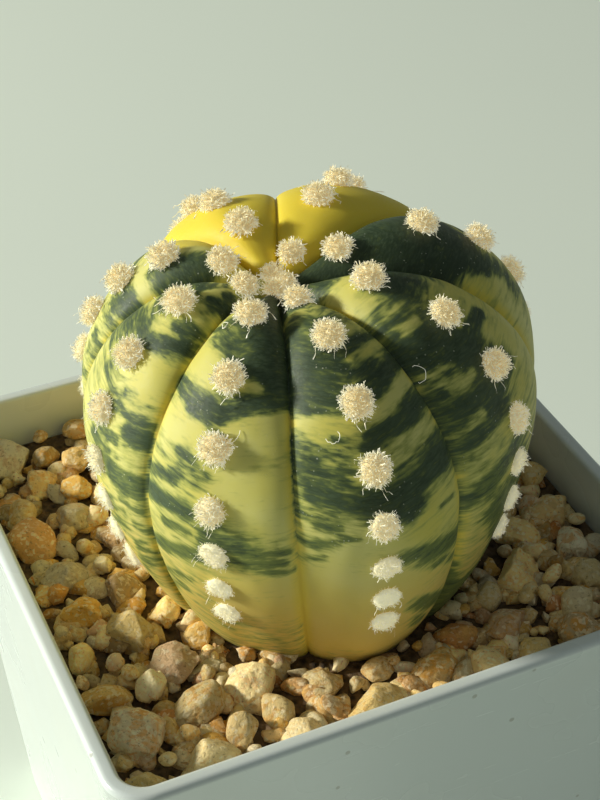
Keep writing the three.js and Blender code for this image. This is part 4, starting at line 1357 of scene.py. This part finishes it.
def grit_shape():
    """Strews small stones over a starting mesh, each with tones of its own."""
    inputs = {
        "Density": "Float",
        "Seed": "Int",
        "Small": "Float",
        "Large": "Float",
        "Shallow Cut": "Float",
        "Deep Cut": "Float",
        "Material": "Material",
    }
    tree, plan, given = shape_plan("grit_shape", inputs)
    strewn = plan.node(
        "GeometryNodeDistributePointsOnFaces",
        None,
        {"Mesh": given["Geometry"], "Density": given["Density"], "Seed": given["Seed"]},
        "Points",
    )
    vector = {"data_type": "FLOAT_VECTOR"}
    tones = plan.drawn((0, 0, 0), (1, 1, 1), 11)
    marked = plan.noting(strewn, "tones", tones, "FLOAT_VECTOR")
    size = plan.drawn(given["Small"], given["Large"], 12)
    hop = plan.drawn(-GRIT_HOP, GRIT_HOP, 15)
    marked = plan.moved(marked, plan.joined(0.0, 0.0, hop))
    marked = plan.noting(marked, "centre", plan.node("GeometryNodeInputPosition"), "FLOAT_VECTOR")
    marked = plan.noting(marked, "half", size)
    size = plan.noted("half")
    lump = plan.node("GeometryNodeMeshIcoSphere", None, {"Radius": 1.0, "Subdivisions": 2}, "Mesh")
    squash = plan.node(
        "FunctionNodeRandomValue", vector, {"Min": GRIT_FLATTEST, "Max": GRIT_FULLEST, "Seed": 13}, "Value"
    )
    scale = plan.scaled(squash, size)
    turn = plan.node(
        "FunctionNodeRandomValue", vector, {
            "Min": (-0.5, -0.5, 0), "Max": (0.5, 0.5, 6.28), "Seed": 14
        }, "Value"
    )
    laid = plan.repeated(marked, lump, turn, scale)
    whole = plan.node("GeometryNodeRealizeInstances", None, {"Geometry": laid})
    whole = broken(plan, whole, given["Shallow Cut"], given["Deep Cut"])
    place = plan.node("GeometryNodeInputPosition")
    knobs = plan.noise(place, 900.0, 1.0, output="Color")
    push = plan.vectors("MULTIPLY", plan.vectors("SUBTRACT", knobs, (0.5, 0.5, 0.5)), GRIT_KNOBS)
    rough = plan.moved(whole, push)
    close_shape(plan, rough, given)
    return tree


def broken_stone():
    material, plan, surface = material_plan("broken_stone")
    place = plan.node("ShaderNodeTexCoord", output="Object")
    tones = plan.attribute("tones", "Vector")
    kind, light, own = plan.split(tones)
    shifted = plan.vectors("ADD", place, plan.vectors("MULTIPLY", tones, (0.5, 0.3, 0.2)))
    patches = plan.noise(shifted, 300, 4.0, 0.65, 0.6)
    veins = plan.noise(shifted, 620, 3.0, 0.6, 1.2)
    grain = plan.noise(shifted, 2100, 4.0, 0.75)
    crystals = plan.node("ShaderNodeTexVoronoi", None, {"Vector": shifted, "Scale": 2300.0}, "Color")
    glint = plan.node("ShaderNodeSeparateColor", None, {"Color": crystals}, 0)
    body = plan.node("ShaderNodeValToRGB", {"stops": STONE_COLOURS}, {"Fac": kind}, "Color")
    other = plan.maths("FRACT", kind * 3.7 + own)
    second = plan.node("ShaderNodeValToRGB", {"stops": STONE_COLOURS}, {"Fac": other}, "Color")
    body = plan.blend(plan.step(patches, 0.5, 0.66, 0.0, 0.5), body, second)
    body = plan.blend(plan.step(veins + own * 0.22, 0.64, 0.84, 0.0, 0.6), body, STONE_RUST)
    body = plan.blend(plan.step(glint + grain, 1.1, 1.5, 0.0, 0.5), body, STONE_PALE)
    body = plan.blend(plan.step(grain, 0.46, 0.28, 0.0, 0.75), body, STONE_DIRT)
    tuned = {"Color": body, "Value": light * 0.6 + 0.82, "Saturation": 1.12}
    body = plan.node("ShaderNodeHueSaturation", None, tuned, "Color")
    height = grain * 1.2 + patches * 0.9 + glint * 0.5
    bump = plan.bump(height, 1.0, 0.27 * MM)
    feed(plan, surface, Base_Color=body, Roughness=plan.step(glint, 0.6, 1.0, 0.8, 0.38), Normal=bump)
    return material


# A dark brown sheet under the stones: partly dust, partly painted shade in the gaps between them.
def dust_and_painted_shade():
    material, plan, surface = material_plan("dust_and_painted_shade")
    place = plan.node("ShaderNodeTexCoord", output="Object")
    grains = plan.node("ShaderNodeTexVoronoi", None, {"Vector": place, "Scale": 900.0}, "Distance")
    patches = plan.noise(place, 500, 4.0)
    tone = plan.blend(patches * plan.step(grains, 0.1, 0.6), BED_DARK, BED_BROWN)
    bump = plan.bump(patches - grains, 1.0, 0.8 * MM)
    feed(plan, surface, Base_Color=tone, Roughness=plan.step(patches, 0.2, 0.8, 0.85, 1.0), Normal=bump)
    return material


stone_material = broken_stone()
stone_tree = stone_shape()
ball_corners, ball_faces = icosahedron()
shape_draws = seeded(STONE_SEED + 1)
tone_draws = seeded(STONE_SEED + 2)
piles = {}
for place in stone_places():
    corners, faces, tones, centres, halves = piles.setdefault(
        (place["pile"], place["level"]), ([], [], [], [], [])
    )
    first = len(corners)
    corners.extend(stone_corners(place, ball_corners, shape_draws))
    faces.extend(tuple(first + corner for corner in face) for face in ball_faces)
    tones.extend([[next(tone_draws) for _ in range(3)]] * len(ball_corners))
    centres.extend([(place["x"], place["y"], place["z"])] * len(ball_corners))
    halves.extend([place["half"]] * len(ball_corners))
for (pile, level), (corners, faces, tones, centres, halves) in piles.items():
    mesh = bpy.data.meshes.new("stones")
    mesh.from_pydata([tuple(corner) for corner in corners], [], faces)
    with_attribute(mesh, "tones", "FLOAT_VECTOR", tones)
    with_attribute(mesh, "centre", "FLOAT_VECTOR", centres)
    with_attribute(mesh, "half", "FLOAT", halves)
    values = {
        "Level": level,
        "Rounding": 2**level // 3,
        "Shallow Cut": SHALLOW_CUT,
        "Deep Cut": DEEP_CUT,
        "Roughness": STONE_ROUGHNESS,
        "Inner Half": inner_half(POT_HEIGHT - STONES_AT_WALL) - STONE_CLEARANCE,
        "Material": stone_material,
    }
    stones = grown("stones_" + pile, mesh, stone_tree, values)
    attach(stones, "root")
    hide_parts("gravel")

bed_top = POT_HEIGHT - BED_TOP - BED_LOWERED
bed_rings = [
    square_ring(inner_half(POT_HEIGHT - BED_BOTTOM) - GAP, INNER_CORNER - GAP, POT_HEIGHT - BED_BOTTOM),
    square_ring(inner_half(bed_top) - GAP, INNER_CORNER - GAP, bed_top),
]
bed = placed("stone_bed", lofted("stone_bed", bed_rings), dust_and_painted_shade())
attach(bed, "root")
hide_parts("gravel")

reach = inner_half(POT_HEIGHT - BED_TOP) - GRIT_STEP
cells = int(2 * reach / GRIT_STEP)
corners, faces = [], []
for i in range(cells):
    for j in range(cells):
        x, y = mix(-reach, reach, (i + 0.5) / cells), mix(-reach, reach, (j + 0.5) / cells)
        if distance_from_plant(x, y) > -GRIT_UNDER_PLANT:
            first = len(corners)
            h = reach / cells
            corners += [
                (x + sx * h, y + sy * h, POT_HEIGHT - BED_TOP - GRIT_SUNK)
                for sx, sy in ((-1, -1), (1, -1), (1, 1), (-1, 1))
            ]
            faces.append((first, first + 1, first + 2, first + 3))
strewing = bpy.data.meshes.new("strewing")
strewing.from_pydata(corners, [], faces)
values = {
    "Density": float(GRIT_DENSITY),
    "Seed": GRIT_SEED,
    "Small": GRIT_SMALL,
    "Large": GRIT_LARGE,
    "Shallow Cut": SHALLOW_CUT,
    "Deep Cut": DEEP_CUT,
    "Material": stone_material,
}
grit = grown("stone_grit", strewing, grit_shape(), values)
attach(grit, "root")
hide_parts("gravel")

# The floor and the light
# A pale matt sheet under the pot, a low warm key from the left through a wide soft window, and
# a pale even fill from all round.
FLOOR_REACH = 4
KEY_DIRECTION = Vector((-0.82, 0.38, 0.37))
KEY_DISTANCE = 1.6
KEY_SIZE = 0.21
KEY_POWER = 34
KEY_COLOUR = (0.94, 0.93, 0.83)
FILL = (0.85, 0.95, 0.92, 1)
FILL_STRENGTH = 0.19
KEY_AIM = Vector((0, 0, 70)) * MM
SHEET_SHADE = (0.82, 0.89, 0.79, 1)
SHEET_LIGHT = (0.86, 0.93, 0.83, 1)


def pale_sheet():
    material, plan, surface = material_plan("pale_sheet")
    place = plan.node("ShaderNodeTexCoord", output="Object")
    cloudy = plan.noise(place, 6, 2.0)
    tone = plan.blend(cloudy, SHEET_SHADE, SHEET_LIGHT)
    feed(plan, surface, Base_Color=tone, Roughness=0.7)
    return material


floor_mesh = bpy.data.meshes.new("floor")
floor_corners = [(x * FLOOR_REACH, y * FLOOR_REACH, 0) for x, y in ((-1, -1), (1, -1), (1, 1), (-1, 1))]
floor_mesh.from_pydata(floor_corners, [], [(0, 1, 2, 3)])
floor = placed("floor", floor_mesh, pale_sheet())

key = bpy.data.objects.new("key", bpy.data.lights.new("key", "AREA"))
key.data.shape = "DISK"
key.data.size = KEY_SIZE
key.data.energy = KEY_POWER
key.data.color = KEY_COLOUR
toward = KEY_DIRECTION.normalized()
key.location = KEY_AIM + toward * KEY_DISTANCE
key.rotation_mode = "QUATERNION"
key.rotation_quaternion = toward.to_track_quat("Z", "Y")
scene.collection.objects.link(key)
world = bpy.data.worlds.new("fill")
world.use_nodes = True
world.node_tree.nodes["Background"].inputs["Color"].default_value = FILL
world.node_tree.nodes["Background"].inputs["Strength"].default_value = FILL_STRENGTH
scene.world = world
scene.view_settings.view_transform = "Standard"
